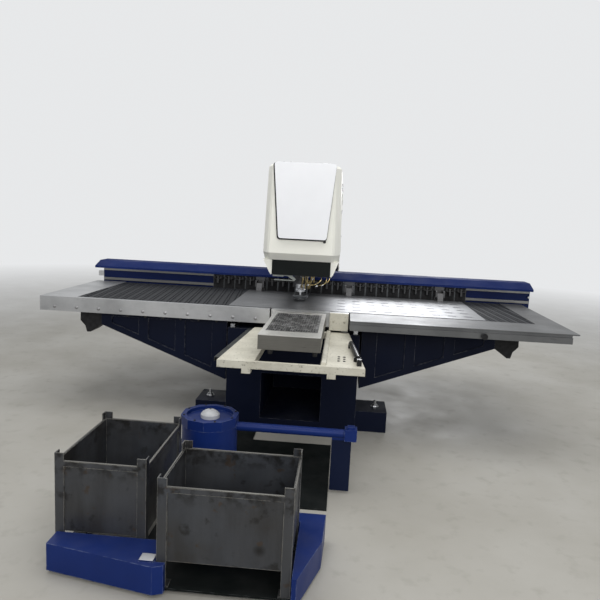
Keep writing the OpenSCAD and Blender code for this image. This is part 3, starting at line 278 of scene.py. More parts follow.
# The head's cover is moulded in cream plastic. The service door before it is a folded steel
# plate in cool white, and the panel below is black, with cream cheeks at its sides.
def mottled(name, scale, dark, light, roughness, specular, detail=4.0, clear=(0.3, 0.7)):
    """Moulded plastic, rubber or bristle: two near tones in small clouds."""
    mat = finish(name, roughness, specular=specular)
    cloud = span(mat, grain(mat, scale, detail=detail), *clear)
    into(mat, "Base Color", mixed(mat, cloud, (*dark, 1), (*light, 1)))
    return mat


cream = paint("cover_cream", (0.93, 0.93, 0.86), 0.42, 0.05, 0.12, specular=0.3,
              dust_colour=(0.45, 0.44, 0.40, 1), chip_colour=(0.50, 0.49, 0.45, 1), clouds=(0.93, 1.03))
wear(cream, "head_cover", "head_cheeks")
door_white = paint("door_white", (0.89, 0.905, 0.94), 0.34, 0.04, 0.05, specular=0.3,
                   dust_colour=(0.5, 0.5, 0.5, 1), chip_colour=(0.45, 0.46, 0.48, 1), clouds=(0.96, 1.02))
wear(door_white, "head_door")
black_panel = paint("panel_black", (0.0045, 0.0065, 0.0065), 0.45, 0.08, 0.25, specular=0.12)
# On the carousel's frame plate under the bins, this black is painted shade.
wear(black_panel, "front_panel", "chute_channel", "floor_plate", "carousel_frame")
brass = brushed("brass", (0.46, 0.36, 0.17), 0.30, along_z, 0.5)
wear(brass, "oil_pipes")
white_plastic = mottled("white_plastic", 20, (0.46, 0.47, 0.49), (0.54, 0.55, 0.57), 0.35, 0.3)
wear(white_plastic, "hub_cap")
lamp_grey = mottled("lamp_grey", 25, (0.16, 0.175, 0.165), (0.27, 0.285, 0.27), 0.4, 0.3)
wear(lamp_grey, "work_lamp")

# The table's wings are welded from steel plate and skimmed flat. The bolted apron before the left
# one is brighter, and the shelf before the right one is an extruded aluminium profile.
plate = brushed("table_steel", (0.46, 0.465, 0.47), 0.34, along_x, 0.6)
wear(plate, "left_wing")
worn_plate = brushed("worn_plate", (0.15, 0.152, 0.155), 0.42, along_x, 0.5)
wear(worn_plate, "right_wing")
apron_steel = brushed("apron_steel", (0.55, 0.555, 0.565), 0.34, along_x, 0.8)
wear(apron_steel, "left_apron")
tray_steel = brushed("tray_steel", (0.17, 0.165, 0.15), 0.42, along_x, 0.6)
wear(tray_steel, "flap_tray")
aluminium = brushed("aluminium", (0.56, 0.565, 0.57), 0.32, along_x, 0.5)
wear(aluminium, "fixed_table", "beam_end_fittings")
cylinder_black = brushed("cylinder_black", (0.035, 0.036, 0.038), 0.35, along_y, 0.4)
wear(cylinder_black, "flap_cylinder")
shelf = brushed("shelf_aluminium", (0.155, 0.158, 0.161), 0.40, along_x, 0.6)
wear(shelf, "right_profile")
plastic = mottled("black_plastic", 30, (0.010, 0.010, 0.011), (0.024, 0.024, 0.026), 0.5, 0.15)
wear(plastic, "tool_cassettes", "profile_knob", "console_end_blocks")
bristle = mottled("bristle", 300, (0.006, 0.0065, 0.008), (0.024, 0.026, 0.032), 0.6, 0.2)
wear(bristle, "left_brushes", "right_brushes", "flap_brush")


# The X beam behind the table is a painted box section with ground rails on its front, and a
# folded sheet hood over it. Drum, arm and skirts of the carousel are in a brighter blue.
def axes(mat):
    """The shaded point's own coordinates, as three values."""
    return step(mat, "ShaderNodeSeparateXYZ", [(0, own_place(mat))]).outputs


def base_colour(mat):
    """What the material's colour is so far."""
    return mat.node_tree.nodes["Principled BSDF"].inputs["Base Color"].links[0].from_socket


# The lighter blue on the edges of drum, arm and skirts is worn paint and also a painted highlight.
bright_blue, blue_wear_and_highlight = (0.0075, 0.024, 0.142), (0.22, 0.27, 0.42, 1)
machine_blue = paint("machine_blue", bright_blue, 0.36, 0.08, 0.8, specular=0.16, chip_colour=blue_wear_and_highlight)
wear(machine_blue, "hub_drum", "skirts")
beam_blue = paint("beam_blue", (0.0065, 0.015, 0.075), 0.45, 0.08, 0.6, specular=0.12,
                  chip_colour=(0.16, 0.19, 0.30, 1))
wear(beam_blue, "x_beam")
arm_blue = paint("arm_blue", bright_blue, 0.36, 0.08, 0.8, specular=0.16, chip_colour=blue_wear_and_highlight)
# The leg below the arm gets a darker navy: painted shade.
leg_shade_top, arm_blue_from = 0.338, 0.344
into(arm_blue, "Base Color", mixed(arm_blue, span(arm_blue, axes(arm_blue)["Z"], leg_shade_top, arm_blue_from),
                                   (0.004, 0.009, 0.034, 1), base_colour(arm_blue)))
wear(arm_blue, "carousel_arm")
# The hood has the machine's blue paint, made darker here as painted shade.
shaded_hood_blue = paint("shaded_hood_blue", (0.010, 0.022, 0.110), 0.62, 0.05, 0.5, specular=0.08,
                  dust_colour=(0.06, 0.07, 0.10, 1), chip_colour=(0.12, 0.15, 0.28, 1))
wear(shaded_hood_blue, "beam_hood")
rail_steel = brushed("rail_steel", (0.26, 0.26, 0.25), 0.32, along_x, 0.5)
wear(rail_steel, "x_guide_rails")

# The sheet on the table is rolled steel with rows of punched slots. Round each slot it is darker, a smear
# at every step of the pattern, and left of the tool painted shade, the head's shadow, darkens it.
slot_first, slot_step, smear_size = (0.361, -0.413), (0.125, 0.165), (0.060, 0.046)
punched_left, punched_right, punched_rear = (0.24, 0.30), (1.44, 1.40), (0.36, 0.30)
head_shade_left, head_shade_right = 0.16, 0.30
rolled = brushed("rolled_sheet", (0.275, 0.28, 0.29), 0.36, along_x, 0.3)
on_sheet = axes(rolled)
far_off = []
for axis in (0, 1):
    past = sums(rolled, "SUBTRACT", on_sheet[axis], slot_first[axis])
    steps = sums(rolled, "DIVIDE", past, slot_step[axis])
    part = sums(rolled, "SUBTRACT", steps, sums(rolled, "ROUND", steps, 0.0))
    off = times(rolled, part, slot_step[axis] / smear_size[axis])
    far_off.append(times(rolled, off, off))
# Round the slots the sheet is made darker, in a smear at every step of the pattern.
near_slot = span(rolled, sums(rolled, "ADD", *far_off), 0.25, 1.0, 1, 0)
zone = times(rolled, span(rolled, on_sheet[0], *punched_left), span(rolled, on_sheet[0], *punched_right),
             span(rolled, on_sheet[1], *punched_rear))
darkened_round_slots = times(rolled, near_slot, zone, span(rolled, grain(rolled, 16, detail=4), 0.35, 0.6, 0.2, 0.75))
clean = base_colour(rolled)
# Painted shade: the sheet is darker left of the tool, where the head's shadow lies.
painted_head_shade = mixed(rolled, 0.40, clean, (0.03, 0.03, 0.033, 1))
ragged = sums(rolled, "ADD", on_sheet[0], span(rolled, grain(rolled, 5, detail=6), 0.3, 0.7, -0.05, 0.05))
sheet_tone = mixed(rolled, span(rolled, ragged, head_shade_left, head_shade_right), painted_head_shade, clean)
into(rolled, "Base Color", mixed(rolled, darkened_round_slots, sheet_tone, (0.10, 0.10, 0.115, 1)))
wear(rolled, "sheet")

# The chute plate is a cream casting, rough and speckled, and worn along its edges. The block at
# the front of the table is made in the same way.
cast = finish("cast_cream", 0.6, specular=0.25)
cast_tone = mixed(cast, span(cast, grain(cast, 6, detail=8), 0.35, 0.7), (0.66, 0.64, 0.55, 1),
                  (0.50, 0.48, 0.40, 1))
pits = span(cast, grain(cast, 60, detail=5), 0.60, 0.68, 0, 0.75)
cast_worn = times(cast, edges(cast, 0.006), span(cast, grain(cast, 22, detail=6), 0.42, 0.58), 0.8)
pitted = mixed(cast, pits, cast_tone, (0.20, 0.185, 0.14, 1))
into(cast, "Base Color", mixed(cast, cast_worn, pitted, (0.12, 0.115, 0.10, 1)))
relief(cast, grain(cast, 90, detail=4), 0.0006)
wear(cast, "chute_plate", "table_block")

# The two bins are welded from hot-rolled steel that was never painted: blue-grey mill scale,
# brown and sooty blotches, one burnt spot, upright streaks, and bright metal on the rubbed rims.
under_rim_z, burn_at, burn_core, burn_edge = (0.40, 0.475), (0.068, -2.753, 0.235), 0.010, 0.034
scale_steel = finish("bin_scale", 0.46, 0.55)
mill_tone = mixed(scale_steel, span(scale_steel, grain(scale_steel, 2.3, detail=7), 0.35, 0.65),
                  (0.060, 0.066, 0.078, 1), (0.038, 0.036, 0.034, 1))
streak = span(scale_steel, grain(scale_steel, 9, (1, 1, 0.12), detail=6), 0.42, 0.62)
streaked = mixed(scale_steel, times(scale_steel, streak, 0.45), mill_tone, (0.085, 0.090, 0.100, 1))
soot = span(scale_steel, grain(scale_steel, 11, detail=8), 0.60, 0.68, 0, 0.7)
under_rim = span(scale_steel, axes(scale_steel)["Z"], *under_rim_z)
ragged_soot = span(scale_steel, grain(scale_steel, 19, detail=7), 0.46, 0.60, 0, 0.85)
burn = step(scale_steel, "ShaderNodeVectorMath", [(0, own_place(scale_steel)), (1, burn_at)],
            operation="DISTANCE").outputs["Value"]
burnt = times(scale_steel, span(scale_steel, burn, burn_core, burn_edge, 1, 0), 0.9)
black = sums(scale_steel, "MAXIMUM", soot, times(scale_steel, under_rim, ragged_soot))
black = sums(scale_steel, "MAXIMUM", black, burnt)
sooted = mixed(scale_steel, black, streaked, (0.014, 0.013, 0.012, 1))
rust = span(scale_steel, grain(scale_steel, 17, detail=9), 0.63, 0.70, 0, 0.6)
rusted = mixed(scale_steel, rust, sooted, (0.060, 0.038, 0.022, 1))
rubbed_spots = span(scale_steel, grain(scale_steel, 30), 0.32, 0.52)
rim_rub = times(scale_steel, edges(scale_steel, 0.005), rubbed_spots, 0.9)
into(scale_steel, "Base Color", mixed(scale_steel, rim_rub, rusted, (0.34, 0.33, 0.30, 1)))
into(scale_steel, "Roughness", span(scale_steel, grain(scale_steel, 6, detail=6), 0.3, 0.7, 0.36, 0.62))
relief(scale_steel, grain(scale_steel, 70, detail=4), 0.0003)
wear(scale_steel, "left_bin", "front_bin")


# Brush fields carry the sheet: black nylon tufts, pressed into slanted plastic bars on a backing
# sheet. The fields are laid between the steel plates of both wings.
def small_mesh(bm, name):
    """Turns a bmesh into a finished mesh with its faces outwards."""
    bmesh.ops.recalc_face_normals(bm, faces=bm.faces)
    mesh = bpy.data.meshes.new(name)
    bm.to_mesh(mesh)
    bm.free()
    return mesh


def shape(bm, name, body, slot, mat, *replaced, smooth=True):
    """Makes a finished mesh a piece that rides on a body."""
    mesh = small_mesh(bm, name)
    if smooth:
        mesh.shade_smooth()
        mesh.set_sharp_from_angle(angle=math.radians(38))
    piece = bpy.data.objects.new(name, mesh)
    bpy.context.scene.collection.objects.link(piece)
    mesh.materials.append(mat)
    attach(piece, body)
    if replaced:
        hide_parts(*replaced)


def bar(bm, low, high):
    """A plain block between two corners. Gives its vertices."""
    made = bmesh.ops.create_cube(bm, size=1.0)["verts"]
    low, high = Vector(low), Vector(high)
    bmesh.ops.scale(bm, vec=high - low, verts=made)
    bmesh.ops.translate(bm, vec=(high + low) / 2, verts=made)
    return made


def block(bm, low, high, edge, segments=1):
    """A block between two corners, with its edges rounded."""
    sides = list({side for vert in bar(bm, low, high) for side in vert.link_edges})
    bmesh.ops.bevel(bm, geom=sides, offset=edge, segments=segments, affect="EDGES", profile=0.5, material=-1)


def facing_turn(towards):
    """The turn that brings +Z to a direction."""
    return Vector((0, 0, 1)).rotation_difference(Vector(towards)).to_matrix().to_4x4()


def turned(bm, outline, at=(0, 0, 0), along=(0, 0, 1), segments=24):
    """A round piece: an outline of (radius, height) points, spun about an axis that starts at a point."""
    before = set(bm.verts)
    verts = [bm.verts.new((r, 0, h)) for r, h in outline]
    lines = [bm.edges.new(ends) for ends in zip(verts, verts[1:])]
    bmesh.ops.spin(bm, geom=verts + lines, cent=(0, 0, 0), axis=(0, 0, 1), angle=math.tau,
                   steps=segments, use_merge=True)
    made = [vert for vert in bm.verts if vert not in before]
    bmesh.ops.transform(bm, matrix=Matrix.Translation(at) @ facing_turn(along), verts=made)
    bmesh.ops.remove_doubles(bm, verts=made, dist=1e-6)


def set_down(bm, small, places):
    """Adds a copy of a small finished mesh at each place."""
    small = small.copy()
    here = Vector()
    for place in places:
        small.transform(Matrix.Translation(Vector(place) - here))
        here = Vector(place)
        bm.from_mesh(small)


bm = bmesh.new()
turned(bm, [(0, 0), (0.0036, 0), (0.0046, 0.0038), (0.0043, 0.0048), (0, 0.0052)], segments=8)
tuft = small_mesh(bm, "tuft")
tuft_pitch, tuft_sunk, row_off, stagger = 0.0230, 0.0053, 0.0125, 0.25
bar_pitch, bar_w, bar_low, bar_high, bar_edge, lean = 0.075, 0.046, 0.0010, 0.0024, 0.0004, 0.110
backing_t, first_tuft, side_margin, end_margin, bar_margin = 0.0012, 0.010, 0.009, 0.006, 0.004


def brush_field(name, node):
    """A field between two wing plates: bars that lean left towards the rear, with two rows of tufts."""
    low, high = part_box(node)
    bm = bmesh.new()
    bar(bm, low, (high[0], high[1], low[2] + backing_t))
    depth = high[1] - low[1]
    bars = int((high[0] - low[0] - lean - bar_w) / bar_pitch) + 1
    tufts = int((depth - 2 * first_tuft) / tuft_pitch) + 1
    places = []
    for i in range(-1, bars + 2):
        for j in range(tufts):
            for row in (-1, 1):
                y = low[1] + first_tuft + (j + stagger * row) * tuft_pitch
                x = low[0] + i * bar_pitch + bar_w / 2 + row * row_off + lean * (high[1] - y) / depth
                inside = low[0] + side_margin < x < high[0] - side_margin
                if inside and low[1] + end_margin < y < high[1] - end_margin:
                    places.append((x, y, high[2] - tuft_sunk))
    slant = Matrix(((1, -lean / depth, 0, lean * high[1] / depth), (0, 1, 0, 0), (0, 0, 1, 0), (0, 0, 0, 1)))
    for i in range(bars):
        strip = bmesh.new()
        x = low[0] + i * bar_pitch
        block(strip, (x, low[1] + bar_margin, low[2] + bar_low),
              (x + bar_w, high[1] - bar_margin, low[2] + bar_high), bar_edge)
        bmesh.ops.transform(strip, matrix=slant, verts=strip.verts)
        bm.from_mesh(small_mesh(strip, "strip"))
    set_down(bm, tuft, places)
    shape(bm, name, "y_carriage", "brush", bristle, node)


brush_field("left_tufts", "left_brushes")
brush_field("right_tufts", "right_brushes")


# The flap tray's brush is one close field of worn tufts, grey with dust. It starts behind the
# broad front of the tray's frame and is pressed into a block of the same nylon.
def stray(i, j, scale, by_row, by_column):
    """A share from 0 to 1 that differs from tuft to tuft in no visible order."""
    return (scale * math.sin(by_row * i + by_column * j)) % 1


tray_pitch, tray_tuft_sunk, tray_first, tray_last = 0.0165, 0.0060, 0.014, 0.020
broad_front, stray_side, stray_down, bed_in, bed_down = 0.115, 0.003, 0.0008, 0.001, 0.006
low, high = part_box("flap_brush")
bm = bmesh.new()
block(bm, (low[0] + bed_in, low[1] + bed_in, low[2]),
      (high[0] - bed_in, high[1] - bed_in, high[2] - bed_down), 0.0006)
places = []
for i in range(int((high[1] - low[1] - broad_front - tray_last) / tray_pitch)):
    for j in range(int((high[0] - low[0] - tray_first) / tray_pitch)):
        shift = stray(i, j, 43.7, 12.9, 78.2)
        x = low[0] + tray_first + j * tray_pitch + stray_side * shift
        y = low[1] + broad_front + tray_first + i * tray_pitch + stray_side * stray(i, j, 91.3, 37.7, 11.1)
        places.append((x, y, high[2] - tray_tuft_sunk - stray_down * shift))
set_down(bm, tuft, places)
tray_bristle = mottled("tray_bristle", 28, (0.010, 0.010, 0.011), (0.25, 0.25, 0.25), 0.42, 0.5,
                       detail=6, clear=(0.46, 0.67))
shape(bm, "tray_tufts", "flap", "brush", tray_bristle, "flap_brush")

# The tray's edge is faced with a flat frame of ground steel, wide at the front, whose bright top is also a
# painted highlight of the lit rim. Two rubber stops hang under its front corners. The frame is welded on, the
# stops are screwed.
edge_t, edge_lip, edge_top, edge_w, rear_w, tray_rim = 0.0045, 0.0003, 0.9497, 0.028, 0.070, 0.026
low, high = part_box("flap_tray")
left, right, under = low[0] - edge_lip, high[0] + edge_lip, edge_top - edge_t
front_end, rear_start = low[1] + tray_rim + broad_front, high[1] - rear_w
bm = bmesh.new()
for start, end in (((left, low[1] - edge_lip, under), (right, front_end, edge_top)),
                   ((left, front_end, under), (low[0] + edge_w, rear_start, edge_top)),
                   ((high[0] - edge_w, front_end, under), (right, rear_start, edge_top)),
                   ((left, rear_start, under), (right, high[1] + edge_lip, edge_top))):
    block(bm, start, end, 0.0002)
tray_edge_and_highlight = brushed("tray_edge_and_highlight", (0.74, 0.73, 0.70), 0.32, along_x, 0.8)
shape(bm, "tray_frame", "flap", "sheet_metal", tray_edge_and_highlight)
stop_in_left, stop_in_right = 0.078, 0.034
bm = bmesh.new()
for x in (low[0] + stop_in_left, high[0] - stop_in_right):
    turned(bm, [(0, 0.001), (0.019, 0.001), (0.020, 0), (0.020, -0.004), (0.016, -0.006), (0.014, -0.028),
                (0.012, -0.030), (0, -0.030)], (x, low[1] + tray_rim, low[2]))
rubber_and_gap_shadow = mottled("rubber_and_gap_shadow", 60, (0.012, 0.012, 0.012), (0.030, 0.030, 0.031), 0.7, 0.2)
shape(bm, "tray_stops", "flap", "rubber", rubber_and_gap_shadow)


# Small fasteners: socket screws with a bevelled head, and hexagon bolts on a washer, made once
# and set down wherever the machine has them.
def socket_screw(radius, height, towards=(0, 0, 1)):
    """The head of a socket screw: a bevelled cylinder with a sunk key hole."""
    bm = bmesh.new()
    turned(bm, [(0, 0.4 * height), (0.48 * radius, 0.4 * height), (0.52 * radius, height),
                (0.86 * radius, height), (radius, 0.85 * height), (radius, 0), (0, 0)], segments=14)
    bmesh.ops.transform(bm, matrix=facing_turn(towards), verts=bm.verts)
    return small_mesh(bm, "socket_screw")


def hex_bolt(radius, height, towards=(0, 0, 1)):
    """A hexagon head on a washer."""
    bm = bmesh.new()
    turned(bm, [(0, height), (0.80 * radius, height), (radius, 0.84 * height), (radius, 0.2 * height),
                (0, 0.2 * height)], segments=6)
    turned(bm, [(0, 0.22 * height), (1.30 * radius, 0.22 * height), (1.36 * radius, 0.16 * height),
                (1.36 * radius, 0), (0, 0)], segments=20)
    bmesh.ops.transform(bm, matrix=facing_turn(towards), verts=bm.verts)
    return small_mesh(bm, "hex_bolt")


def fastened(name, body, mat, small, places):
    """A set of equal fasteners as one piece."""
    bm = bmesh.new()
    set_down(bm, small, places)
    shape(bm, name, body, "brushed_metal", mat)


zinc = brushed("zinc", (0.62, 0.63, 0.64), 0.28, along_z, 0.3)
dull_zinc = brushed("dull_zinc", (0.36, 0.36, 0.365), 0.42, along_z, 0.4)
black_oxide = brushed("black_oxide", (0.05, 0.05, 0.052), 0.42, along_z, 0.3)
to_front, to_rear, to_right_side = (0, -1, 0), (0, 1, 0), (1, 0, 0)
apron_first, apron_step, apron_front, apron_bolt_z = -1.92, 0.18, -0.586, 0.869
fastened("apron_bolts", "y_carriage", dull_zinc, hex_bolt(0.0098, 0.0062, to_front),
         [(apron_first + i * apron_step, apron_front, apron_bolt_z) for i in range(10)])
wing_end, wing_screw_z = 2.040, 0.888
fastened("wing_end_screws", "y_carriage", black_oxide, socket_screw(0.008, 0.004, to_right_side),
         [(wing_end, y, wing_screw_z) for y in (-0.50, -0.25, 0.0, 0.25, 0.48)])
chute_top = 0.7975
fastened("chute_screws", "machine", black_oxide, socket_screw(0.0085, 0.006),
         [(x, y, chute_top) for x in (0.365, 0.400) for y in (-1.40, -1.455, -1.51)])
foot_top, washer_t = 0.166, 0.012
foot_places = [(x, y, foot_top) for x in (-0.68, 0.68) for y in (-0.39, 2.11)]
fastened("anchor_nuts", "machine", zinc, hex_bolt(0.024, 0.020), foot_places)
bm = bmesh.new()
turned(bm, [(0, 0.040), (0.008, 0.040), (0.011, 0.037), (0.011, 0.0), (0, 0)], segments=16)
fastened("anchor_studs", "machine", zinc, small_mesh(bm, "stud"),
         [(x, y, z + washer_t) for x, y, z in foot_places])
console_first, console_step, console_front, console_bolt_z = 0.62, 0.145, -0.5205, 0.816
fastened("console_bolts", "y_carriage", black_oxide, hex_bolt(0.008, 0.006, to_front),
         [(side * (console_first + console_step * i), console_front, console_bolt_z)
          for side in (-1, 1) for i in range(6)])

# The service door closes on a soft black seal with rounded corners, glued to the cover's front. It is cut
# wider than the door at the left and below, where it is painted shadow: it stands for the shade in the door's
# gap.
door_mid, door_low_z, door_top_z, door_half_top, door_half_low = 0.018, 1.493, 2.093, 0.247, 0.194
gap_shadow_left, gap_shadow_low, gap_shadow_right, top_in = 0.013, 0.012, 0.001, 0.004
seal_rear, seal_w, seal_t, corner_r = -0.3125, 0.024, 0.0130, 0.024
bm = bmesh.new()
corners = [bm.verts.new((door_mid + x, seal_rear, z)) for x, z in
           ((-door_half_low - gap_shadow_left, door_low_z - gap_shadow_low),
            (door_half_low + gap_shadow_right, door_low_z - gap_shadow_low),
            (door_half_top + gap_shadow_right, door_top_z - top_in),
            (-door_half_top - gap_shadow_left, door_top_z - top_in))]
bm.faces.new(corners)
bmesh.ops.bevel(bm, geom=corners, offset=corner_r, segments=6, affect="VERTICES", profile=0.5, material=-1)
ring = bmesh.ops.inset_region(bm, faces=list(bm.faces), thickness=seal_w, use_boundary=True)["faces"]
bmesh.ops.delete(bm, geom=[face for face in bm.faces if face not in ring], context="FACES")
grown = bmesh.ops.extrude_face_region(bm, geom=list(bm.faces))["geom"]
front_verts = [part for part in grown if isinstance(part, bmesh.types.BMVert)]
bmesh.ops.translate(bm, vec=(0, -seal_t, 0), verts=front_verts)
shape(bm, "door_seal_and_gap_shadow", "machine", "rubber", rubber_and_gap_shadow, smooth=False)

# A steel quarter-turn lock with a flat grip sits under the door's right corner. Socket screws hold
# the cover to flanges on both sides of the upper arm.
lock_x, lock_y, lock_z = 0.196, -0.3120, 1.478
grip_half, grip_thin, grip_front, grip_rear = 0.008, 0.0015, 0.0115, 0.0075
bm = bmesh.new()
turned(bm, [(0, 0.007), (0.004, 0.007), (0.004, 0.010), (0.010, 0.010), (0.012, 0.008), (0.012, 0), (0, 0)],
       (lock_x, lock_y, lock_z), to_front)
block(bm, (lock_x - grip_half, lock_y - grip_front, lock_z - grip_thin),
      (lock_x + grip_half, lock_y - grip_rear, lock_z + grip_thin), 0.0006)
shape(bm, "door_lock", "machine", "dark_steel", black_oxide)
cover_mid, cover_low_w, cover_top_w, cover_low_z, cover_top_z = 0.006, 0.640, 0.596, 1.370, 2.061
cover_screw_y, cover_screw_sunk, side_tip = 0.306, 0.0006, 0.06
slope = (cover_low_w - cover_top_w) / 2 / (cover_top_z - cover_low_z)
for side, where in ((-1, "left"), (1, "right")):
    fastened("cover_screws_" + where, "machine", zinc, socket_screw(0.009, 0.005, (side, 0, side_tip)),
             [(cover_mid + side * (cover_low_w / 2 - slope * (z - cover_low_z) - cover_screw_sunk),
               cover_screw_y, z) for z in (1.51, 1.72, 1.94)])


# The bundle of oil-mist pipes beside the ram: bent brass tubes that come out under the cover and
# end in nozzles, with union nuts, and two white hose tails.
def tube(bm, points, radius, segments=8):
    """A bent tube through the given points, closed at both ends."""
    steps = 6
    points = [Vector(point) for point in points]
    path = []
    for i in range(len(points) - 1):
        a, b = points[i], points[i + 1]
        before, after = points[max(i - 1, 0)], points[min(i + 2, len(points) - 1)]
        for k in range(steps):
            t = k / steps
            path.append(0.5 * (2 * a + (b - before) * t + (2 * before - 5 * a + 4 * b - after) * t * t
                               + (3 * a - before - 3 * b + after) * t * t * t))
    path.append(points[-1])
    end = bmesh.ops.create_circle(bm, cap_ends=True, segments=segments, radius=radius)["verts"]
    heading = (path[1] - path[0]).normalized()
    bmesh.ops.transform(bm, matrix=Matrix.Translation(path[0]) @ facing_turn(heading), verts=end)
    face = end[0].link_faces[0]
    for here, there, beyond in zip(path, path[1:], path[2:] + [path[-1] + (path[-1] - path[-2])]):
        face = bmesh.ops.extrude_discrete_faces(bm, faces=[face])["faces"][0]
        new_heading = (beyond - here).normalized()
        turn = heading.rotation_difference(new_heading).to_matrix().to_4x4()
        onward = Matrix.Translation(there) @ turn @ Matrix.Translation(-here)
        bmesh.ops.transform(bm, matrix=onward, verts=face.verts)
        heading = new_heading


def tubes(name, slot, mat, radius, routes):
    """A set of tubes as one piece."""
    bm = bmesh.new()
    for route in routes:
        tube(bm, route, radius)
    shape(bm, name, "machine", slot, mat)


bright_brass = brushed("bright_brass", (0.52, 0.42, 0.21), 0.18, along_z, 0.3)
tubes("mist_tubes", "brass", bright_brass, 0.0034, (
    [(0.020, -0.125, 1.236), (0.018, -0.130, 1.190), (0.030, -0.128, 1.150), (0.020, -0.110, 1.105),
     (0.006, -0.088, 1.075)],
    [(0.052, -0.122, 1.236), (0.056, -0.132, 1.200), (0.046, -0.130, 1.150), (0.062, -0.118, 1.112),
     (0.040, -0.096, 1.085)],
    [(0.088, -0.112, 1.236), (0.098, -0.124, 1.205), (0.104, -0.118, 1.165), (0.088, -0.104, 1.130),
     (0.066, -0.094, 1.108)],
    [(0.112, -0.098, 1.236), (0.124, -0.108, 1.210), (0.122, -0.104, 1.180), (0.108, -0.098, 1.155)],
    [(0.108, -0.040, 1.238), (0.170, -0.072, 1.206), (0.222, -0.096, 1.166), (0.210, -0.104, 1.118),
     (0.150, -0.100, 1.094)],
    [(0.100, -0.058, 1.238), (0.160, -0.096, 1.196), (0.180, -0.114, 1.150), (0.130, -0.116, 1.106),
     (0.078, -0.112, 1.100)],
    [(0.114, -0.020, 1.238), (0.178, -0.050, 1.214), (0.236, -0.080, 1.182), (0.244, -0.092, 1.142),
     (0.196, -0.090, 1.106)]))
nozzles = (((0.0065, -0.0885, 1.0760), (-0.35, 0.55, -0.75)), ((0.041, -0.097, 1.0860), (-0.5, 0.5, -0.7)),
           ((0.067, -0.0945, 1.109), (-0.6, 0.25, -0.7)), ((0.108, -0.098, 1.156), (-0.4, 0.2, -0.9)),
           ((0.151, -0.100, 1.0945), (-0.92, 0.06, -0.38)), ((0.079, -0.112, 1.1001), (-0.99, 0.05, -0.12)),
           ((0.197, -0.090, 1.1067), (-0.8, 0.03, -0.6)))
inlets = tuple(((x, y, 1.2200), (0, 0, 1)) for x, y in
               ((0.020, -0.125), (0.052, -0.1225), (0.088, -0.1135), (0.112, -0.1000)))
bm = bmesh.new()
for at, towards in nozzles + inlets:
    turned(bm, [(0, 0), (0.0065, 0), (0.0072, 0.002), (0.0072, 0.012), (0.0046, 0.014), (0.0040, 0.020),
                (0, 0.020)], at, towards, 6)
shape(bm, "tube_unions", "machine", "brushed_metal", zinc)
tubes("mist_hoses", "lamp_white", white_plastic, 0.0030, (
    [(-0.006, -0.122, 1.236), (-0.010, -0.134, 1.200), (0.008, -0.136, 1.172), (0.036, -0.134, 1.165)],
    [(0.070, -0.120, 1.236), (0.074, -0.134, 1.212), (0.080, -0.130, 1.182), (0.064, -0.126, 1.160)]))


# The hub's drum is closed by a disc that eight black screws hold. The white cap is clipped over
# its middle and has a low round screw head on top.
def on_circle(count, radius):
    """Places round a circle, the first half a step on."""
    turns = [math.tau * (i + 0.5) / count for i in range(count)]
    return [(radius * math.cos(turn), radius * math.sin(turn)) for turn in turns]


hub_x, hub_y, hub_disc_top, hub_cap_top = -0.406, -1.640, 0.4500, 0.4795
fastened("rim_screws", "carousel", black_oxide, socket_screw(0.007, 0.005),
         [(hub_x + x, hub_y + y, hub_disc_top) for x, y in on_circle(8, 0.160)])
bm = bmesh.new()
turned(bm, [(0, 0), (0.005, 0), (0.007, -0.0010), (0.007, -0.0055), (0, -0.0055)],
       (hub_x, hub_y, hub_cap_top))
shape(bm, "cap_screw", "carousel", "dark_steel", black_oxide)

# The bins' rims are bars of flat steel on edge, welded between the corner posts and ground bright
# where the forks rub.
rim_steel = brushed("rim_steel", (0.22, 0.215, 0.20), 0.40, along_x, 0.6, metallic=0.8)
rim_low, rim_high, post_w, rim_w, rim_edge = 0.4975, 0.5015, 0.046, 0.008, 0.0012
for node in ("front_bin", "left_bin"):
    low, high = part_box(node)
    bm = bmesh.new()
    for y in (low[1], high[1] - rim_w):
        block(bm, (low[0] + post_w, y, rim_low), (high[0] - post_w, y + rim_w, rim_high), rim_edge)
    for x in (low[0], high[0] - rim_w):
        block(bm, (x, low[1] + post_w, rim_low), (x + rim_w, high[1] - post_w, rim_high), rim_edge)
    shape(bm, node + "_rim", "carousel", "bin_steel", rim_steel)

# A small pale plate lies on the left skirt's top, beside the front bin. It is moulded in white
# plastic and clipped on.
cap_low, cap_high = (-0.462, -2.768, 0.1488), (-0.398, -2.712, 0.1578)
bm = bmesh.new()
block(bm, cap_low, cap_high, 0.0015, 2)
shape(bm, "skirt_cap", "carousel", "lamp_white", white_plastic)


# Covers of the frame: folded steel doors on the column and the base, and cover plates on the
# upper arm. The plates are screwed on. The doors have quarter-turn locks, the column's also hinges.
panel_round, panel_slope = 0.016, 0.003


def panel(bm, low, high, out, field=0.022, sunk=0.0025):
    """A folded cover: rounded corners and a slightly sunk field on its outer side."""
    out = Vector(out)
    made = bar(bm, low, high)
    upright = [edge for edge in {edge for vert in made for edge in vert.link_edges}
               if abs((edge.verts[0].co - edge.verts[1].co).normalized().dot(out)) > 0.9]
    bmesh.ops.bevel(bm, geom=upright, offset=panel_round, segments=4, affect="EDGES", profile=0.5,
                    material=-1)
    bm.normal_update()
    face = max((face for face in bm.faces if face.normal.dot(out) > 0.9), key=lambda face: face.calc_area())
    bmesh.ops.inset_region(bm, faces=[face], thickness=field, depth=0)
    bmesh.ops.inset_region(bm, faces=[face], thickness=panel_slope, depth=-sunk)


def cover(name, mat, low, high, out, field=0.022):
    """A cover that stays on the machine."""
    bm = bmesh.new()
    panel(bm, low, high, out, field)
    shape(bm, name, "machine", "frame_blue", mat)


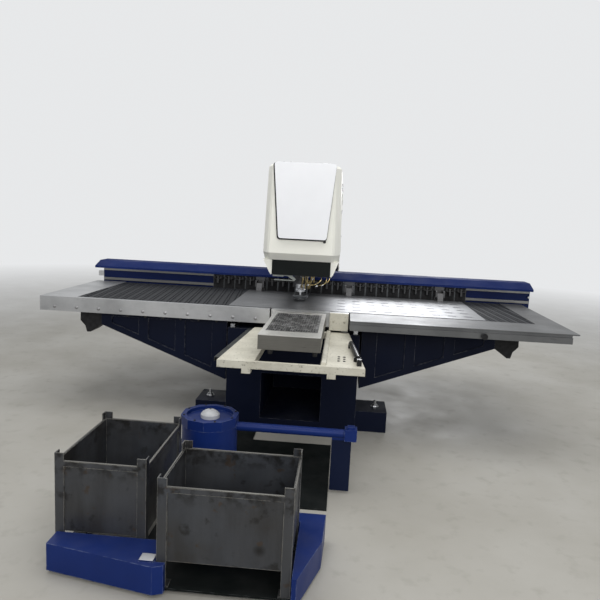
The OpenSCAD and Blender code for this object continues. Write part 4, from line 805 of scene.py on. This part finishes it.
def side_cover(name, side, mat, face, thick, low, high, field=0.022):
    """A cover on a face this far left (-1) or right (1) of the middle, between two (y, z) corners."""
    near, far = sorted((side * face, side * (face + thick)))
    cover(name, mat, (near, *low), (far, *high), (side, 0, 0), field)


def quarter_lock(bm, at, towards, floor, rise, lip):
    """A round lock with a sunk middle."""
    turned(bm, [(0, floor), (0.004, floor), (0.005, rise), (0.013, rise), (0.015, lip), (0.015, 0), (0, 0)],
           at, towards)


cover_navy = paint("cover_navy", (0.0045, 0.0095, 0.032), 0.42, 0.08, 0.6, specular=0.18)
column_side, column_door_t, base_side, base_door_t = 0.300, 0.004, 0.520, 0.012
arm_side, arm_cover_t, plate_field, hinge_sunk = 0.225, 0.006, 0.030, 0.002
for side, where in ((-1, "left"), (1, "right")):
    side_cover("column_door_" + where, side, cream, column_side, column_door_t, (1.83, 0.86), (2.32, 1.96))
    side_cover("base_door_" + where, side, cover_navy, base_side, base_door_t, (1.45, 0.20), (2.10, 0.70))
    side_cover("arm_cover_" + where, side, cover_navy, arm_side, arm_cover_t, (0.56, 1.56), (1.60, 1.94),
               plate_field)
    fastened("arm_cover_screws_" + where, "machine", zinc, socket_screw(0.007, 0.004, (side, 0, 0)),
             [(side * (arm_side + arm_cover_t), y, z)
              for y in (0.577, 0.90, 1.26, 1.583) for z in (1.577, 1.923)])
    bm = bmesh.new()
    for z in (1.08, 1.74):
        quarter_lock(bm, (side * (column_side + column_door_t), 1.852, z), (side, 0, 0), 0.002, 0.004, 0.003)
    for z in (1.00, 1.82):
        turned(bm, [(0, 0), (0.007, 0), (0.008, 0.001), (0.008, 0.059), (0.007, 0.060), (0, 0.060)],
               (side * (column_side - hinge_sunk), 2.328, z), segments=16)
    for z in (0.33, 0.57):
        quarter_lock(bm, (side * (base_side + base_door_t), 1.472, z), (side, 0, 0), 0.006, 0.009, 0.007)
    shape(bm, "frame_locks_" + where, "machine", "dark_steel", black_oxide)

# The upper arm is closed on top by a screwed plate, and four forged lifting eyes are screwed into
# the column's top.
frame_top, roof_top, roof_half = 2.050, 2.056, 0.185
cover("roof_cover", cover_navy, (-roof_half, 0.52, frame_top), (roof_half, 1.58, roof_top), (0, 0, 1),
      plate_field)
fastened("roof_screws", "machine", zinc, socket_screw(0.007, 0.004),
         [(x, y, roof_top) for x in (-0.168, 0.168) for y in (0.537, 0.88, 1.22, 1.563)])
eye_mid, eye_r, eye_wire = 2.0785, 0.0135, 0.0045
bm = bmesh.new()
for x in (-0.20, 0.20):
    for y in (1.90, 2.26):
        turned(bm, [(0, 0), (0.019, 0), (0.020, 0.001), (0.020, 0.006), (0.013, 0.010), (0, 0.010)],
               (x, y, frame_top))
        wire = bmesh.ops.create_circle(bm, cap_ends=False, segments=10, radius=eye_wire)["verts"]
        upright = Matrix.Translation((x, y, eye_mid + eye_r)) @ Matrix.Rotation(math.radians(90), 4, "X")
        bmesh.ops.transform(bm, matrix=upright, verts=wire)
        round_wire = list({edge for vert in wire for edge in vert.link_edges})
        bmesh.ops.spin(bm, geom=wire + round_wire, cent=(x, y, eye_mid), axis=(0, 1, 0), angle=math.tau,
                       steps=20, use_merge=True)
shape(bm, "lifting_eyes", "machine", "dark_steel", black_oxide)

# The drive at the rear of the column breathes through a folded plate with nine louvres, and the
# power inlet's flange below it has six screws. Screws along its rear hold the beam's hood.
slat_half, slat_depth, slat_half_t, slat_first, slat_step = 0.15, 0.016, 0.002, 1.50, 0.045
slat_y, slat_tilt = 2.386, Matrix.Rotation(math.radians(-38), 3, "X")
bm = bmesh.new()
panel(bm, (-0.22, 2.380, 1.42), (0.22, 2.390, 1.94), to_rear)
for i in range(9):
    slat = bmesh.new()
    block(slat, (-slat_half, 0, -slat_half_t), (slat_half, slat_depth, slat_half_t), 0.0012)
    bmesh.ops.rotate(slat, cent=(0, 0, 0), matrix=slat_tilt, verts=slat.verts)
    bmesh.ops.translate(slat, vec=(0, slat_y, slat_first + i * slat_step), verts=slat.verts)
    bm.from_mesh(small_mesh(slat, "slat"))
shape(bm, "rear_louvres", "machine", "frame_blue", cover_navy)
inlet_z, flange_rear = 1.200, 2.388
fastened("inlet_screws", "machine", zinc, socket_screw(0.006, 0.004, to_rear),
         [(x, flange_rear, inlet_z + z) for x, z in on_circle(6, 0.066)])
hood_first, hood_step, hood_rear, hood_screw_z = -1.95, 0.33, 0.890, 1.045
fastened("hood_screws", "y_carriage", zinc, socket_screw(0.006, 0.0035, to_rear),
         [(hood_first + i * hood_step, hood_rear, hood_screw_z) for i in range(13)])

# Each cassette has a spring clip on its front that snaps it into the saddle. The clips are bent
# from thin spring steel. Where a sheet clamp stands there is no cassette.
station_pitch, clamp_stations = 0.106, (-4, 4, 12)
clip_half, clip_leg, clip_bow, clip_low, clip_high, clip_edge = 0.034, 0.002, 0.0016, 1.036, 1.066, 0.0006
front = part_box("tool_cassettes")[0][1]
bm = bmesh.new()
for x in (-clip_half, clip_half):
    block(bm, (x - clip_leg, front - clip_bow, clip_low), (x + clip_leg, front + 0.004, clip_high), clip_edge)
block(bm, (-clip_half - clip_leg, front - clip_bow, clip_low - 0.0025),
      (clip_half + clip_leg, front + 0.0006, clip_low + 0.0005), clip_edge)
fastened("cassette_clips", "x_carriage", dull, small_mesh(bm, "clip"),
         [(k * station_pitch, 0, 0) for k in range(-8, 15) if k not in clamp_stations])

# The work lamp's lower side is a strip of frosted plastic, let into the housing and proud of it
# by a few millimetres.
window_in, window_side, window_rise = 0.012, 0.004, 0.004
low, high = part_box("work_lamp")
bm = bmesh.new()
block(bm, (low[0] + window_in, low[1] + window_side, low[2] - window_rise),
      (high[0] - window_in, high[1] - window_side, low[2] + window_rise), 0.002, 2)
shape(bm, "lamp_window", "machine", "lamp_white", lamp_grey)
